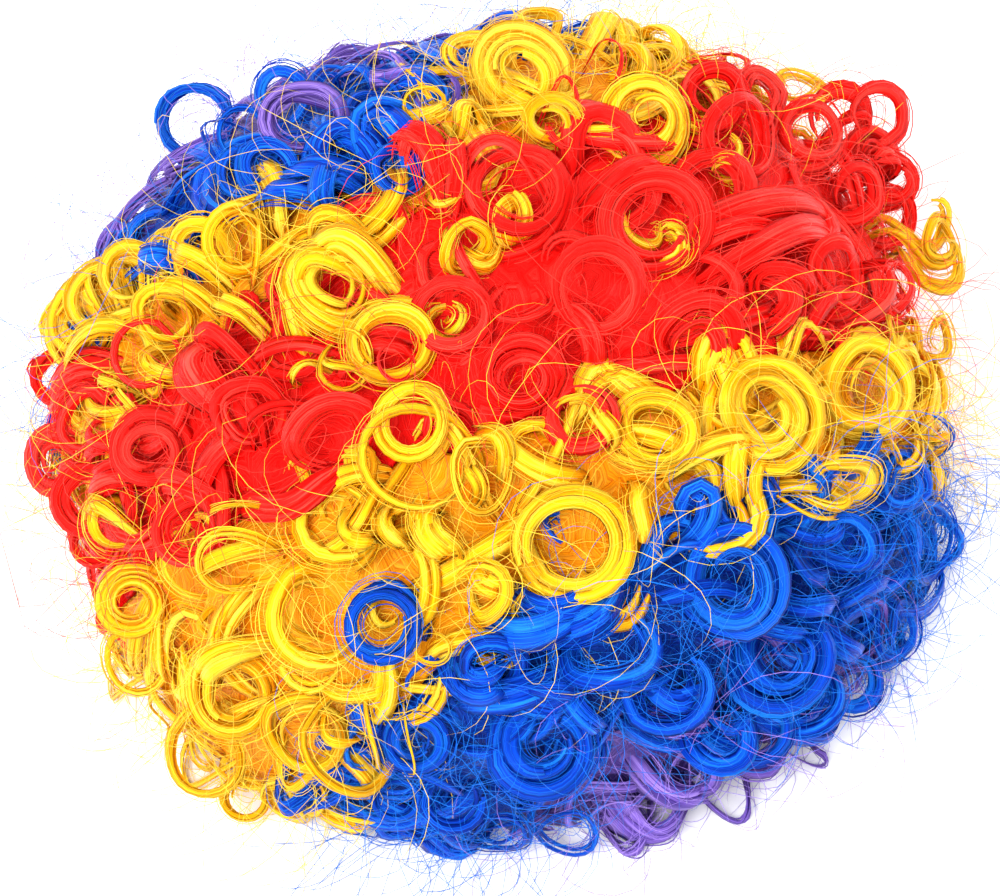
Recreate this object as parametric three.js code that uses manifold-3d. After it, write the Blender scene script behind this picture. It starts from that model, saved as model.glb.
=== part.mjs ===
// Curly striped wig for a small pet, standing on its own rim.
// A stretch net cap carries seven stripes of hair, sewn on from side to side in mirrored order:
// purple, blue, yellow, red over the crown, yellow, blue, purple.
// Every stripe is packed hair next to the cap, with its curled locks standing out of it as one body.
// Millimetres, +Z up, -Y is the front. The wig stands centred on the origin.
import * as THREE from "three";
import { mergeVertices } from "three/addons/utils/BufferGeometryUtils.js";
import Module from "manifold-3d";

const wasm = await Module();
wasm.setup();

const radians = THREE.MathUtils.degToRad;

// Driving dimensions.
const ROUNDNESS = 2.3; // power of every dome's profile: 2 is an ellipse, more is fuller at the shoulder
const FULLNESS = 2.3; // the same for the hair's outline seen from above
const HEAD = { halfWide: 60, halfLong: 66, high: 62 }; // the hollow that the head fills
const CAP_WALL = 1.6;
const CAP_SIDES = 20;
const HEM = { high: 7, proud: 1.2 }; // doubled edge of the cap, turned outwards
const PACKED = { halfWide: 108, halfLong: 102, high: 95 }; // packed hair, up to where the locks come free
const LOCKS_ABOVE = 4; // middle of a curl, above the packed hair
const CLEARANCE = 0.4; // between pieces that lie against each other
const WELD = 1e-3; // corners closer than this are one
const ROOT_DEPTH = 0.93; // a lock starts at this share of the packed hair's size
const ROOT_MARGIN = 5; // and at least this far inside its own stripe
const ENTRY_ANGLE = radians(75); // where a lock joins its curl, counted from the side of its root

// The curls that show are placed as they are seen from this three-quarter view from above.
const VIEW = { azimuth: -17, elevation: 65, distance: 900, aim: [-2, -5, 13] };

// Seams between the stripes, from front to back. at: distance behind the crown on the middle line.
// skew: how much further back a seam lies for each millimetre to the right. bow: the same for its square.
const SEAMS = [
  { at: -150, skew: 0, bow: 0 },
  { at: -96, skew: 0.17, bow: 0 },
  { at: -72, skew: 0.2, bow: 0.0007 },
  { at: -36, skew: 0, bow: 0.0012 },
  { at: 28, skew: 0.2, bow: 0 },
  { at: 62, skew: 0.3, bow: 0 },
  { at: 87, skew: 0.36, bow: 0 },
  { at: 150, skew: 0, bow: 0 },
];
const seamAt = (seam, x) => seam.at + seam.skew * x + seam.bow * x * x;

// The stripes, each between two seams.
// Where locks of two stripes cross, the lock of the stripe that is listed first stays whole.
const STRIPES = [
  { name: "hair_red_crown", front: SEAMS[3], back: SEAMS[4], colour: 0xe81410 },
  { name: "hair_yellow_front", front: SEAMS[2], back: SEAMS[3], colour: 0xf6b90a },
  { name: "hair_yellow_back", front: SEAMS[4], back: SEAMS[5], colour: 0xf6b90a },
  { name: "hair_blue_front", front: SEAMS[1], back: SEAMS[2], colour: 0x0d4fc8 },
  { name: "hair_blue_back", front: SEAMS[5], back: SEAMS[6], colour: 0x0d4fc8 },
  { name: "hair_purple_front", front: SEAMS[0], back: SEAMS[1], colour: 0x8a68cc },
  { name: "hair_purple_back", front: SEAMS[6], back: SEAMS[7], colour: 0x8a68cc },
];

// How each kind of curl winds. inner: its last radius over its first.
// rise: its length along the axis over the radius. bulk: half the lock's thickness over the radius.
// steps: faces to a turn.
const KINDS = {
  rosette: { turns: 1.4, inner: 0.3, rise: 0.3, bulk: 0.18, steps: 7 },
  ring: { turns: 1.12, inner: 0.62, rise: 0.35, bulk: 0.16, steps: 7 },
  loop: { turns: 0.95, inner: 0.9, rise: 0.3, bulk: 0.12, steps: 7 },
  barrel: { turns: 2.2, inner: 0.95, rise: 1.7, bulk: 0.28, steps: 6 },
};

// One row for each curl that shows: its kind, where its middle is seen, right and up from the aim, its radius
// and how far its axis turns to the right and up from the line of sight, in degrees.
const CURL_COLUMNS = ["kind", "right", "up", "radius", "yaw", "pitch"];
const CURLS = {
  hair_red_crown: [
    ["ring", -12, 32, 11.5, 0, 0],
    ["ring", 24, 41, 10.5, 0, 0],
    ["rosette", 48, 28, 14, 0, -35],
    ["rosette", 5, 18, 12, 0, 0],
    ["ring", 85, 43, 11.5, 35, 0],
    ["ring", 60, 78, 13, 40, 0],
    ["loop", 55, 96, 10, 0, 70],
    ["rosette", 92, 74, 10.5, 20, 0],
    ["ring", 39, 56, 15, 0, 0],
    ["ring", 4, 63, 15, 0, 20],
    ["rosette", -88, 0, 12, 0, 0],
    ["barrel", -71, 18, 8, 0, 70],
    ["rosette", -111, -3, 9, -30, 0],
    ["loop", -113, 19, 8, -30, 0],
  ],
  hair_yellow_front: [
    ["ring", -22, 6, 10.5, 0, 0],
    ["rosette", 16, -20, 15.5, 0, 0],
    ["ring", 38, 4, 11, 0, 0],
    ["rosette", 66, 9, 15.5, 0, 0],
    ["rosette", 92, 17, 14, 25, 0],
    ["barrel", -17, -24, 7, 0, 75],
    ["ring", -46, -43, 15, 40, 0],
    ["loop", -66, -29, 12, 0, -50],
    ["ring", -97, -19, 8, 20, 0],
    ["rosette", -92, -38, 10, 0, 0],
    ["loop", -91, -53, 10, 0, 0],
    ["loop", -74, -75, 12, -20, 0],
    ["rosette", -67, -60, 14, 0, 0],
    ["ring", -49, -72, 12, 0, -20],
  ],
  hair_yellow_back: [
    ["ring", -65, 52, 10, 40, 0],
    ["rosette", -40, 41, 15, 20, 20],
    ["ring", -28, 27, 12.3, 0, 0],
    ["ring", -83, 33, 9, 0, -30],
    ["rosette", -104, 33, 12, -30, 0],
    ["rosette", 4, 95, 14, 0, 0],
    ["rosette", 36, 82, 14, 0, 0],
    ["barrel", 25, 104, 7, 0, 80],
    ["rosette", 110, 52, 9.5, 40, 0],
    ["ring", 109, 27, 8, 50, 0],
  ],
  hair_blue_front: [
    ["ring", -29, -44, 10.5, 0, 0],
    ["rosette", 57, -32, 14, 0, 0],
    ["rosette", 11, -74, 15, 0, 0],
    ["ring", 71, -52, 15.5, 0, 20],
    ["loop", -1, -97, 10, 0, -50],
    ["loop", 16, -98, 9.5, 0, -40],
    ["loop", 108, -22, 13, 60, 0],
    ["ring", 100, -45, 9.5, 45, 0],
    ["rosette", 101, -8, 9, 30, 0],
    ["barrel", -50, -86, 6, 75, 0],
    ["ring", 27, -50, 12, 0, 40],
    ["rosette", -20, -73, 11, 0, 0],
  ],
  hair_blue_back: [
    ["ring", -75, 81, 10.3, 0, 0],
    ["ring", -32, 87, 9, 0, 0],
  ],
  hair_purple_front: [
    ["barrel", 38, -91, 8, 80, 0],
    ["loop", 60, -85, 8.5, 0, -40],
    ["ring", 72, -75, 8, 0, -30],
  ],
  hair_purple_back: [
    ["rosette", -49, 83, 12, 0, 0],
    ["barrel", -27, 93, 5, 0, 80],
  ],
};

// The far side, which that view hides, is curled evenly: rows round the back at these heights.
const FAR_ROWS = [
  { height: 14, count: 6, from: 12, to: 168, kind: "ring", radius: 12 },
  { height: 42, count: 3, from: 45, to: 150, kind: "rosette", radius: 13 },
];

const grown = (dome, by) => ({
  halfWide: dome.halfWide + by,
  halfLong: dome.halfLong + by,
  high: dome.high + by,
});

// Size of the hair dome that passes through a point, as a share of the given one.
function shareOf(dome, point) {
  const wide = Math.abs(point.x / dome.halfWide) ** FULLNESS;
  const long = Math.abs(point.y / dome.halfLong) ** FULLNESS;
  const plan = (wide + long) ** (1 / FULLNESS);
  return (plan ** ROUNDNESS + Math.max(point.z / dome.high, 0) ** ROUNDNESS) ** (1 / ROUNDNESS);
}

// Direction straight out of a hair dome at a point.
function outwards(dome, point) {
  const reach = 0.5;
  const slope = (axis) => {
    const ahead = point.clone().addScaledVector(axis, reach);
    const behind = point.clone().addScaledVector(axis, -reach);
    return shareOf(dome, ahead) - shareOf(dome, behind);
  };
  const axes = [new THREE.Vector3(1, 0, 0), new THREE.Vector3(0, 1, 0), new THREE.Vector3(0, 0, 1)];
  return new THREE.Vector3(...axes.map(slope)).normalize();
}

// A solid body from a shape's closed surface.
function solidOf(geometry, weld = 1e-4) {
  const bare = geometry.clone();
  bare.deleteAttribute("normal");
  bare.deleteAttribute("uv");
  const merged = mergeVertices(bare, weld);
  return new wasm.Manifold(
    new wasm.Mesh({
      numProp: 3,
      vertProperties: new Float32Array(merged.attributes.position.array),
      triVerts: new Uint32Array(merged.index.array),
    }),
  );
}

// The surface of a solid body.
function geometryOf(solid) {
  const mesh = solid.getMesh();
  const geometry = new THREE.BufferGeometry();
  geometry.setAttribute("position", new THREE.BufferAttribute(mesh.vertProperties, 3));
  geometry.setIndex(new THREE.BufferAttribute(mesh.triVerts, 1));
  geometry.computeVertexNormals();
  return geometry;
}

const joined = (solids) => solids.reduce((whole, solid) => whole.add(solid));

// The main body of a solid, without crumbs that a cut left.
function mainBody(solid) {
  return solid.decompose().reduce((most, body) => (body.volume() > most.volume() ? body : most));
}

// Profile of a dome's side from a foot height to its top, as half width and height.
function profile(dome, steps, foot = 0) {
  const start = Math.asin(Math.min((foot / dome.high) ** (ROUNDNESS / 2), 1));
  return Array.from({ length: steps + 1 }, (_, i) => {
    const turn = start + ((Math.PI / 2 - start) * i) / steps;
    const radius = i === steps ? 0 : Math.cos(turn) ** (2 / ROUNDNESS);
    return new THREE.Vector2(radius * dome.halfWide, dome.high * Math.sin(turn) ** (2 / ROUNDNESS));
  });
}

// A turned shape, stood up along Z and drawn out from front to back.
function turned(points, sides, lengthOverWidth) {
  const geometry = new THREE.LatheGeometry(points, sides);
  return geometry.rotateX(Math.PI / 2).scale(1, lengthOverWidth, 1);
}

// A solid dome of hair: turned, then filled out towards the corners of its outline.
function domeSolid(dome, sides, steps) {
  const points = [new THREE.Vector2(0, 0), ...profile(dome, steps)];
  const geometry = turned(points, sides, dome.halfLong / dome.halfWide);
  const corners = geometry.attributes.position;
  for (let i = 0; i < corners.count; i++) {
    const turn = Math.atan2(corners.getY(i) / dome.halfLong, corners.getX(i) / dome.halfWide);
    const sum = Math.abs(Math.cos(turn)) ** FULLNESS + Math.abs(Math.sin(turn)) ** FULLNESS;
    const fill = sum ** (-1 / FULLNESS);
    corners.setXY(i, corners.getX(i) * fill, corners.getY(i) * fill);
  }
  return solidOf(geometry);
}

// Outside of the cap from its doubled edge to its top, or of a like shape further out.
function capOutside(further) {
  const dome = grown(HEAD, CAP_WALL + further);
  const hemRadius = dome.halfWide + HEM.proud;
  const hemHigh = HEM.high + further;
  const hem = [new THREE.Vector2(hemRadius, 0), new THREE.Vector2(hemRadius, hemHigh)];
  return [...hem, ...profile(dome, 6, hemHigh)];
}

// The cap: a thin dome, open below, with a doubled edge.
function capGeometry() {
  const inside = profile(HEAD, 6).reverse();
  return turned([...inside, ...capOutside(0)], CAP_SIDES, HEAD.halfLong / HEAD.halfWide);
}

// Packed hair of all stripes: from just outside the cap to where the locks come free.
function packedHair() {
  const hollow = [new THREE.Vector2(0, 0), ...capOutside(CLEARANCE)];
  const hollowSolid = solidOf(turned(hollow, CAP_SIDES, HEAD.halfLong / HEAD.halfWide));
  return domeSolid(PACKED, 28, 7).subtract(hollowSolid);
}

// All the room between two seams, above the floor.
function between(front, back) {
  const reach = 140;
  const places = Array.from({ length: 9 }, (_, i) => reach * (i / 4 - 1));
  const corner = (seam, inwards) => (x) => new THREE.Vector2(x, seamAt(seam, x) + inwards);
  const frontSide = places.map(corner(front, CLEARANCE / 2));
  const backSide = places.map(corner(back, -CLEARANCE / 2)).reverse();
  const shape = new THREE.Shape([...frontSide, ...backSide]);
  return solidOf(new THREE.ExtrudeGeometry(shape, { depth: reach, bevelEnabled: false }));
}

// The view from which the curls are placed.
function viewAxes() {
  const azimuth = radians(VIEW.azimuth);
  const elevation = radians(VIEW.elevation);
  const towards = new THREE.Vector3(
    Math.sin(azimuth) * Math.cos(elevation),
    -Math.cos(azimuth) * Math.cos(elevation),
    Math.sin(elevation),
  );
  const right = new THREE.Vector3(Math.cos(azimuth), Math.sin(azimuth), 0);
  const up = new THREE.Vector3().crossVectors(towards, right);
  const aim = new THREE.Vector3(...VIEW.aim);
  const eye = aim.clone().addScaledVector(towards, VIEW.distance);
  return { towards, right, up, aim, eye };
}
const SEEN = viewAxes();
const LOCK_DOME = grown(PACKED, LOCKS_ABOVE);

// The point of the hair that is seen at a place of the view, or else the point nearest to the hair.
function seenPoint(right, up) {
  const target = SEEN.aim.clone().addScaledVector(SEEN.right, right).addScaledVector(SEEN.up, up);
  const ray = new THREE.Ray(SEEN.eye, target.sub(SEEN.eye).normalize());
  const step = 0.5;
  const reach = 160;
  let nearest = null;
  let least = Infinity;
  for (let along = VIEW.distance - reach; along < VIEW.distance + reach; along += step) {
    const point = ray.at(along, new THREE.Vector3());
    const share = shareOf(LOCK_DOME, point);
    if (point.z < 0 || least <= 1) break;
    if (share < least) {
      least = share;
      nearest = point;
    }
  }
  return nearest;
}

// A curl of the table, placed where it is seen.
function seenCurl(row) {
  const curl = Object.fromEntries(CURL_COLUMNS.map((column, i) => [column, row[i]]));
  const axis = SEEN.towards
    .clone()
    .applyAxisAngle(SEEN.up, radians(curl.yaw))
    .applyAxisAngle(SEEN.right, -radians(curl.pitch));
  return standing({ ...KINDS[curl.kind], radius: curl.radius, centre: seenPoint(curl.right, curl.up), axis });
}

// A curl low on the wig lies on the floor: none of it is lower.
function standing(curl) {
  const steepness = Math.sqrt(1 - curl.axis.z ** 2);
  const drop = curl.radius * (steepness + (curl.rise / 2) * Math.abs(curl.axis.z));
  curl.centre.z = Math.max(curl.centre.z, drop);
  return curl;
}

// Curls of the far side that belong to a stripe: their axes stand straight out of the hair.
function farCurls(stripe) {
  const curls = [];
  for (const row of FAR_ROWS) {
    const level = (1 - (row.height / LOCK_DOME.high) ** ROUNDNESS) ** (1 / ROUNDNESS);
    for (let i = 0; i < row.count; i++) {
      const angle = radians(row.from + ((row.to - row.from) * i) / (row.count - 1));
      const centre = new THREE.Vector3(
        LOCK_DOME.halfWide * level * Math.cos(angle),
        LOCK_DOME.halfLong * level * Math.sin(angle),
        row.height,
      );
      if (centre.y < seamAt(stripe.front, centre.x) || centre.y >= seamAt(stripe.back, centre.x)) continue;
      const axis = outwards(LOCK_DOME, centre);
      curls.push(standing({ ...KINDS[row.kind], radius: row.radius, centre, axis }));
    }
  }
  return curls;
}

// Where a curl's lock starts: inside the packed hair of its own stripe, below the curl.
function rootOf(curl, stripe) {
  const root = curl.centre.clone();
  for (let pass = 0; pass < 20; pass++) {
    const foremost = seamAt(stripe.front, root.x) + ROOT_MARGIN;
    const rearmost = seamAt(stripe.back, root.x) - ROOT_MARGIN;
    root.y = THREE.MathUtils.clamp(root.y, foremost, rearmost);
    root.multiplyScalar(ROOT_DEPTH / Math.max(shareOf(PACKED, root), ROOT_DEPTH));
    root.z = Math.max(root.z, ROOT_MARGIN);
  }
  return root;
}

// A curve whose steps are even in its own course, so that tight turns get as many as wide ones.
class EvenCurve extends THREE.CatmullRomCurve3 {
  getPointAt(share, target) {
    return this.getPoint(share, target);
  }
  getTangentAt(share, target) {
    return this.getTangent(share, target);
  }
}

// The path of a lock: out of its root, on to the curl along a tangent, then round its axis, winding inwards.
function lockPath(curl, stripe) {
  const root = rootOf(curl, stripe);
  const across = new THREE.Vector3().subVectors(root, curl.centre).projectOnPlane(curl.axis).normalize();
  const along = new THREE.Vector3().crossVectors(curl.axis, across);
  const count = Math.round(curl.turns * curl.steps);
  const round = (share) => {
    const turn = ENTRY_ANGLE + 2 * Math.PI * curl.turns * share;
    const radius = curl.radius * (1 - curl.bulk) * (1 - (1 - curl.inner) * share);
    return curl.centre
      .clone()
      .addScaledVector(across, radius * Math.cos(turn))
      .addScaledVector(along, radius * Math.sin(turn))
      .addScaledVector(curl.axis, curl.rise * curl.radius * (share - 0.5));
  };
  const points = Array.from({ length: count + 1 }, (_, i) => round(i / count));
  const back = new THREE.Vector3().subVectors(points[0], points[1]);
  const lead = points[0].clone().add(back).lerp(root, 0.3);
  return new EvenCurve([root, lead, ...points]);
}

// A lock: a square section drawn along its path.
function lockSolid(curl, stripe, wider = 0) {
  const sides = 4;
  const half = curl.bulk * curl.radius + wider;
  const corners = Array.from({ length: sides }, (_, i) => {
    const turn = (2 * Math.PI * (i + 0.5)) / sides;
    return new THREE.Vector2(half * Math.cos(turn), half * Math.sin(turn)).multiplyScalar(1.15);
  });
  const extrudePath = lockPath(curl, stripe);
  const steps = extrudePath.points.length - 1;
  return solidOf(new THREE.ExtrudeGeometry(new THREE.Shape(corners), { extrudePath, steps }));
}

// A stripe's hair: its packed hair with room for the locks of the others, joined to its own locks.
function hairSolids() {
  const packed = packedHair();
  const made = STRIPES.map((stripe) => {
    const curls = [...CURLS[stripe.name].map(seenCurl), ...farCurls(stripe)];
    return {
      backing: packed.intersect(between(stripe.front, stripe.back)),
      locks: joined(curls.map((curl) => lockSolid(curl, stripe))),
      room: joined(curls.map((curl) => lockSolid(curl, stripe, CLEARANCE))),
    };
  });
  const aboveFloor = between(SEAMS[0], SEAMS[SEAMS.length - 1]);
  return made.map((own, order) => {
    let { backing, locks } = own;
    made.forEach((other, otherOrder) => {
      if (otherOrder !== order) backing = backing.subtract(other.room);
      if (otherOrder < order) locks = locks.subtract(other.room);
    });
    const body = mainBody(backing.add(locks).intersect(aboveFloor));
    return mainBody(solidOf(geometryOf(body), WELD));
  });
}

function hairMaterial(colour) {
  return new THREE.MeshStandardMaterial({ color: colour, roughness: 0.38, metalness: 0 });
}

function namedMesh(name, geometry, material) {
  const mesh = new THREE.Mesh(geometry, material);
  mesh.name = name;
  return mesh;
}

const wig = new THREE.Group();
const netCloth = new THREE.MeshStandardMaterial({ color: 0x2a2430, roughness: 0.9, metalness: 0 });
wig.add(namedMesh("cap", capGeometry(), netCloth));
hairSolids().forEach((solid, i) => {
  wig.add(namedMesh(STRIPES[i].name, geometryOf(solid), hairMaterial(STRIPES[i].colour)));
});

// The wig stands on the middle of its own outline.
const outline = new THREE.Box3().setFromObject(wig);
const middle = outline.getCenter(new THREE.Vector3());
wig.position.set(-middle.x, -middle.y, -outline.min.z);

export default wig;
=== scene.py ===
# Curly striped wig for a small pet, lying open side down on a pale floor.
# A net cap carries seven stripes of synthetic hair, sewn on from side to side and curled into ringlets.
# The sections run outwards: the cap, the crown, then the stripes in pairs, in front of it and behind it.
import math
import random

import bpy
import numpy
from mathutils import Matrix, Vector, noise


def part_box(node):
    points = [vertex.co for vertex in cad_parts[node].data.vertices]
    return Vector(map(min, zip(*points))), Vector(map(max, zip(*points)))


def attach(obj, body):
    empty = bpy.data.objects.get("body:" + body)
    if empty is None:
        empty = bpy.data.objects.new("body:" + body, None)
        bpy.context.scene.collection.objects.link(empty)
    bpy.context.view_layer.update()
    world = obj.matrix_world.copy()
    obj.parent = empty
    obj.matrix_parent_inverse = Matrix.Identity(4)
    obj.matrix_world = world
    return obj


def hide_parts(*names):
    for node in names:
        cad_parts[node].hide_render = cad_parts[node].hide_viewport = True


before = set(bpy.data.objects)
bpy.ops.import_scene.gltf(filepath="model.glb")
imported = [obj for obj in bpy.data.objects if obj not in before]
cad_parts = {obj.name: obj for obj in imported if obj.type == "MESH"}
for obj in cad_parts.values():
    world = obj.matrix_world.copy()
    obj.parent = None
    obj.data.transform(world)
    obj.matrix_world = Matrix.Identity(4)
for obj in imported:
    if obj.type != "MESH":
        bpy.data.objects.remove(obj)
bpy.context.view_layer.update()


# Cap
# A dark stretch net, sewn to the shape of the head, with a doubled elastic edge along its rim.
# Only its inside shows, from below, because the hair covers the rest.
MILLIMETRE = 0.001  # in metres, which the shared frame counts in
HEAD = {"half_wide": 60, "half_long": 66, "high": 62}  # millimetres, as the solids have it
CAP_WALL = 1.6
EDGE_HIGH = 7
EDGE_PROUD = 1.2
ROUNDNESS = 2.3  # power of every dome's profile
NET_THREADS = (("X", 230), ("Y", 56))  # round the cap and up its side
THREAD_COLOUR = (0.045, 0.036, 0.055, 1)
# Painted shade: the holes between the threads are painted darker than the threads.
HOLE_SHADE_COLOUR = (0.012, 0.010, 0.016, 1)

cap_low, cap_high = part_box("cap")
cap_middle = (cap_low + cap_high) / 2


def in_frame(points):
    """Points of the wig's own axes in millimetres, as metres in the shared frame."""
    return numpy.asarray(points, dtype=float) * MILLIMETRE + numpy.array((cap_middle.x, cap_middle.y, 0.0))


def add_node(tree, kind, sockets=None, **settings):
    """A node with its settings made and its sockets filled or linked."""
    made = tree.nodes.new(kind)
    for name, value in settings.items():
        setattr(made, name, value)
    for socket, value in (sockets or {}).items():
        if isinstance(value, bpy.types.NodeSocket):
            tree.links.new(value, made.inputs[socket])
        else:
            made.inputs[socket].default_value = value
    return made


def output_of(tree, kind, sockets=None, **settings):
    """The first output of a new node."""
    return add_node(tree, kind, sockets, **settings).outputs[0]


def maths(tree, operation, *values):
    """A number worked out from one to three others."""
    return output_of(tree, "ShaderNodeMath", dict(enumerate(values)), operation=operation)


def new_material(name):
    """An empty material with its shader and output."""
    material = bpy.data.materials.new(name)
    material.use_nodes = True
    tree = material.node_tree
    tree.nodes.clear()
    shader = add_node(tree, "ShaderNodeBsdfPrincipled")
    add_node(tree, "ShaderNodeOutputMaterial", {"Surface": shader.outputs["BSDF"]})
    return material, tree, shader


def net_material():
    """Fine dark net: two crossing sets of threads, read from the cap's own map; the sunk holes between them are
    painted darker, as painted shade.
    """
    material, tree, shader = new_material("net_cloth")
    place = output_of(tree, "ShaderNodeUVMap", uv_map="OFBake")
    apart = add_node(tree, "ShaderNodeSeparateXYZ", {"Vector": place})
    threads = []
    for axis, count in NET_THREADS:
        wave = maths(tree, "SINE", maths(tree, "MULTIPLY", apart.outputs[axis], count * math.pi))
        threads.append(maths(tree, "ABSOLUTE", wave))
    weave = maths(tree, "MULTIPLY", *threads)
    wear = output_of(tree, "ShaderNodeTexNoise", {"Vector": place, "Scale": 9.0, "Detail": 4.0})
    ramp = add_node(tree, "ShaderNodeValToRGB", {"Fac": maths(tree, "MULTIPLY_ADD", weave, wear, 0.1)})
    ramp.color_ramp.elements[0].color = THREAD_COLOUR
    ramp.color_ramp.elements[1].color = HOLE_SHADE_COLOUR
    relief = {"Height": weave, "Strength": 0.6, "Distance": 0.0006}
    bump = output_of(tree, "ShaderNodeBump", relief, invert=True)
    tree.links.new(ramp.outputs["Color"], shader.inputs["Base Color"])
    tree.links.new(bump, shader.inputs["Normal"])
    shader.inputs["Roughness"].default_value = 0.85
    return material


def closed_piece(name, rows, faces, places, material):
    """A smooth mesh from its points in the wig's axes, with the map that its material reads."""
    mesh = bpy.data.meshes.new(name)
    mesh.from_pydata([tuple(p) for p in in_frame(rows)], [], faces)
    layer = mesh.uv_layers.new(name="OFBake")
    for loop in mesh.loops:
        layer.data[loop.index].uv = places[loop.vertex_index]
    for polygon in mesh.polygons:
        polygon.use_smooth = True
    mesh.materials.append(material)
    mesh.update()
    return mesh


def cap_mesh():
    """The cap turned from its profile: up the inside, over the rim's roll and up the outside."""
    sides = 96
    steps_up = 22
    rib_points = 13
    rib_swell = 0.25
    rim = HEAD["half_wide"] + CAP_WALL
    outside = {key: value + CAP_WALL for key, value in HEAD.items()}

    def side(dome, low):
        start = math.asin((low / dome["high"]) ** (ROUNDNESS / 2))
        line = []
        for i in range(steps_up):
            turn = start + (math.pi / 2 - start) * i / steps_up
            reach = math.cos(turn) ** (2 / ROUNDNESS) * dome["half_wide"]
            line.append((reach, dome["high"] * math.sin(turn) ** (2 / ROUNDNESS)))
        return line

    inner = side(HEAD, 1.0)[::-1]
    edge = [(HEAD["half_wide"] + 0.4, 0.3), (rim, 0.0), (rim + EDGE_PROUD - 0.3, 0.4)]
    ribs = []
    for i in range(rib_points):
        swell = rib_swell * math.cos(i * math.pi)
        height = 0.9 + (EDGE_HIGH - 1.4) * i / (rib_points - 1)
        ribs.append((rim + EDGE_PROUD + swell - rib_swell, height))
    line = inner + edge + ribs + side(outside, EDGE_HIGH)
    long_over_wide = HEAD["half_long"] / HEAD["half_wide"]
    points = [(0, 0, HEAD["high"])]
    places = [(0.5, 1.0)]
    for reach, height in line:
        for j in range(sides):
            turn = 2 * math.pi * j / sides
            points.append((reach * math.cos(turn), reach * math.sin(turn) * long_over_wide, height))
            places.append((abs(2 * j / sides - 1), height / outside["high"]))
    points.append((0, 0, outside["high"]))
    places.append((0.5, 1.0))
    faces = []
    for j in range(sides):
        following = (j + 1) % sides
        faces.append((0, 1 + following, 1 + j))
        for k in range(len(line) - 1):
            row, above = 1 + k * sides, 1 + (k + 1) * sides
            faces.append((row + j, row + following, above + following, above + j))
        last = 1 + (len(line) - 1) * sides
        faces.append((last + j, last + following, len(points) - 1))
    return closed_piece("cap_net", points, faces, places, net_material())


cap_net = bpy.data.objects.new("cap_net", cap_mesh())
bpy.context.scene.collection.objects.link(cap_net)
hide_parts("cap")
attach(cap_net, "root")


# Red hair over the crown
# Synthetic fibre in red, sewn across the cap in rows from ear to ear and set into ringlets of 15 to 30 mm.
# Each ringlet is a lock of flat strands with fine fibres round it; packed hair lies below them.
PACKED = {"half_wide": 108, "half_long": 102, "high": 95}  # packed hair, up to where the locks come free
FULLNESS = 2.3  # power of the hair's outline seen from above
LOCKS_ABOVE = 4  # middle of a curl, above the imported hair
LOCK_DOME = {key: value + LOCKS_ABOVE for key, value in PACKED.items()}
ENTRY_ANGLE = math.radians(75)  # where a lock joins its curl, counted from the side of its root

# The photograph's view, in the wig's own axes: the curls are placed by where it shows them.
VIEW_AZIMUTH = math.radians(-17)
VIEW_ELEVATION = math.radians(65)
VIEW_DISTANCE = 900
VIEW_AIM = Vector((-2, -5, 13))
TOWARDS = Vector((
    math.sin(VIEW_AZIMUTH) * math.cos(VIEW_ELEVATION),
    -math.cos(VIEW_AZIMUTH) * math.cos(VIEW_ELEVATION),
    math.sin(VIEW_ELEVATION),
))
RIGHT = Vector((math.cos(VIEW_AZIMUTH), math.sin(VIEW_AZIMUTH), 0))
UP = TOWARDS.cross(RIGHT)
EYE = VIEW_AIM + TOWARDS * VIEW_DISTANCE

# How each kind of curl winds: its turns, its last radius over its first, its length along the axis, the half
# thickness of its lock across and along the axis, and the turns of the tail that leads to it.
# The lengths are shares of the curl's radius.
KINDS = {
    "rosette": {"turns": 1.9, "inner": 0.34, "rise": 0.3, "band": 0.22, "depth": 0.15, "tail": 0.4},
    "ring": {"turns": 1.3, "inner": 0.74, "rise": 0.35, "band": 0.21, "depth": 0.16, "tail": 0.4},
    "hoop": {"turns": 1.9, "inner": 0.93, "rise": 0.25, "band": 0.17, "depth": 0.15, "tail": 0.3},
    "loop": {"turns": 1.0, "inner": 0.92, "rise": 0.3, "band": 0.12, "depth": 0.1, "tail": 0.25},
    "curl": {"turns": 0.8, "inner": 0.82, "rise": 0.5, "band": 0.25, "depth": 0.17, "tail": 0.5},
    "arch": {"turns": 0.6, "inner": 1.0, "rise": 0.1, "band": 0.14, "depth": 0.5, "tail": 0.12},
    "roll": {"turns": 2.2, "inner": 0.62, "rise": 0.2, "band": 0.2, "depth": 0.15, "tail": 0.3},
    "tuft": {"turns": 0.7, "inner": 0.6, "rise": 0.7, "band": 0.32, "depth": 0.24, "tail": 0.2},
}
FOOT_KIND = {"rise": 0.4, "band": 0.22, "depth": 0.17, "tail": 0.35}
FILLING_KIND = {"rise": 0.4, "band": 0.24, "depth": 0.18, "tail": 0.35}
TUFT_SUNK = 4  # a tuft shows in the hole of another curl, so it lies this much deeper
HOOP_RAISED = 6  # a hoop lies on the other curls

# How far curls reach in the wig's own axes, how near to the floor, and the room for strands in metres.
LEFT_LIMIT = -126
RIGHT_LIMIT = 132
FRONT_LIMIT = -123
BACK_LIMIT = 116
FLOOR_GAP = 1.5
STRAND_ROOM = (0.131, 0.121, 0.113)

# Large curls in rows at the back, which the photograph doesn't show: height, number, first and last angle
# from the right, kind and radius. Small curls stand all round along the foot.
FAR_ROWS = [
    (14, 6, 12, 168, "ring", 12),
    (42, 3, 45, 150, "rosette", 13),
]
FOOT_CURLS = 46
SMALL_STEPS = 16  # points in a turn of a small curl

# Seams between the stripes: how far behind the crown on the middle line, how much further back
# for each millimetre to the right, and the same for its square.
RED_FRONT = (-36, 0, 0.0012)
RED_BACK = (28, 0.2, 0)

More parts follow.
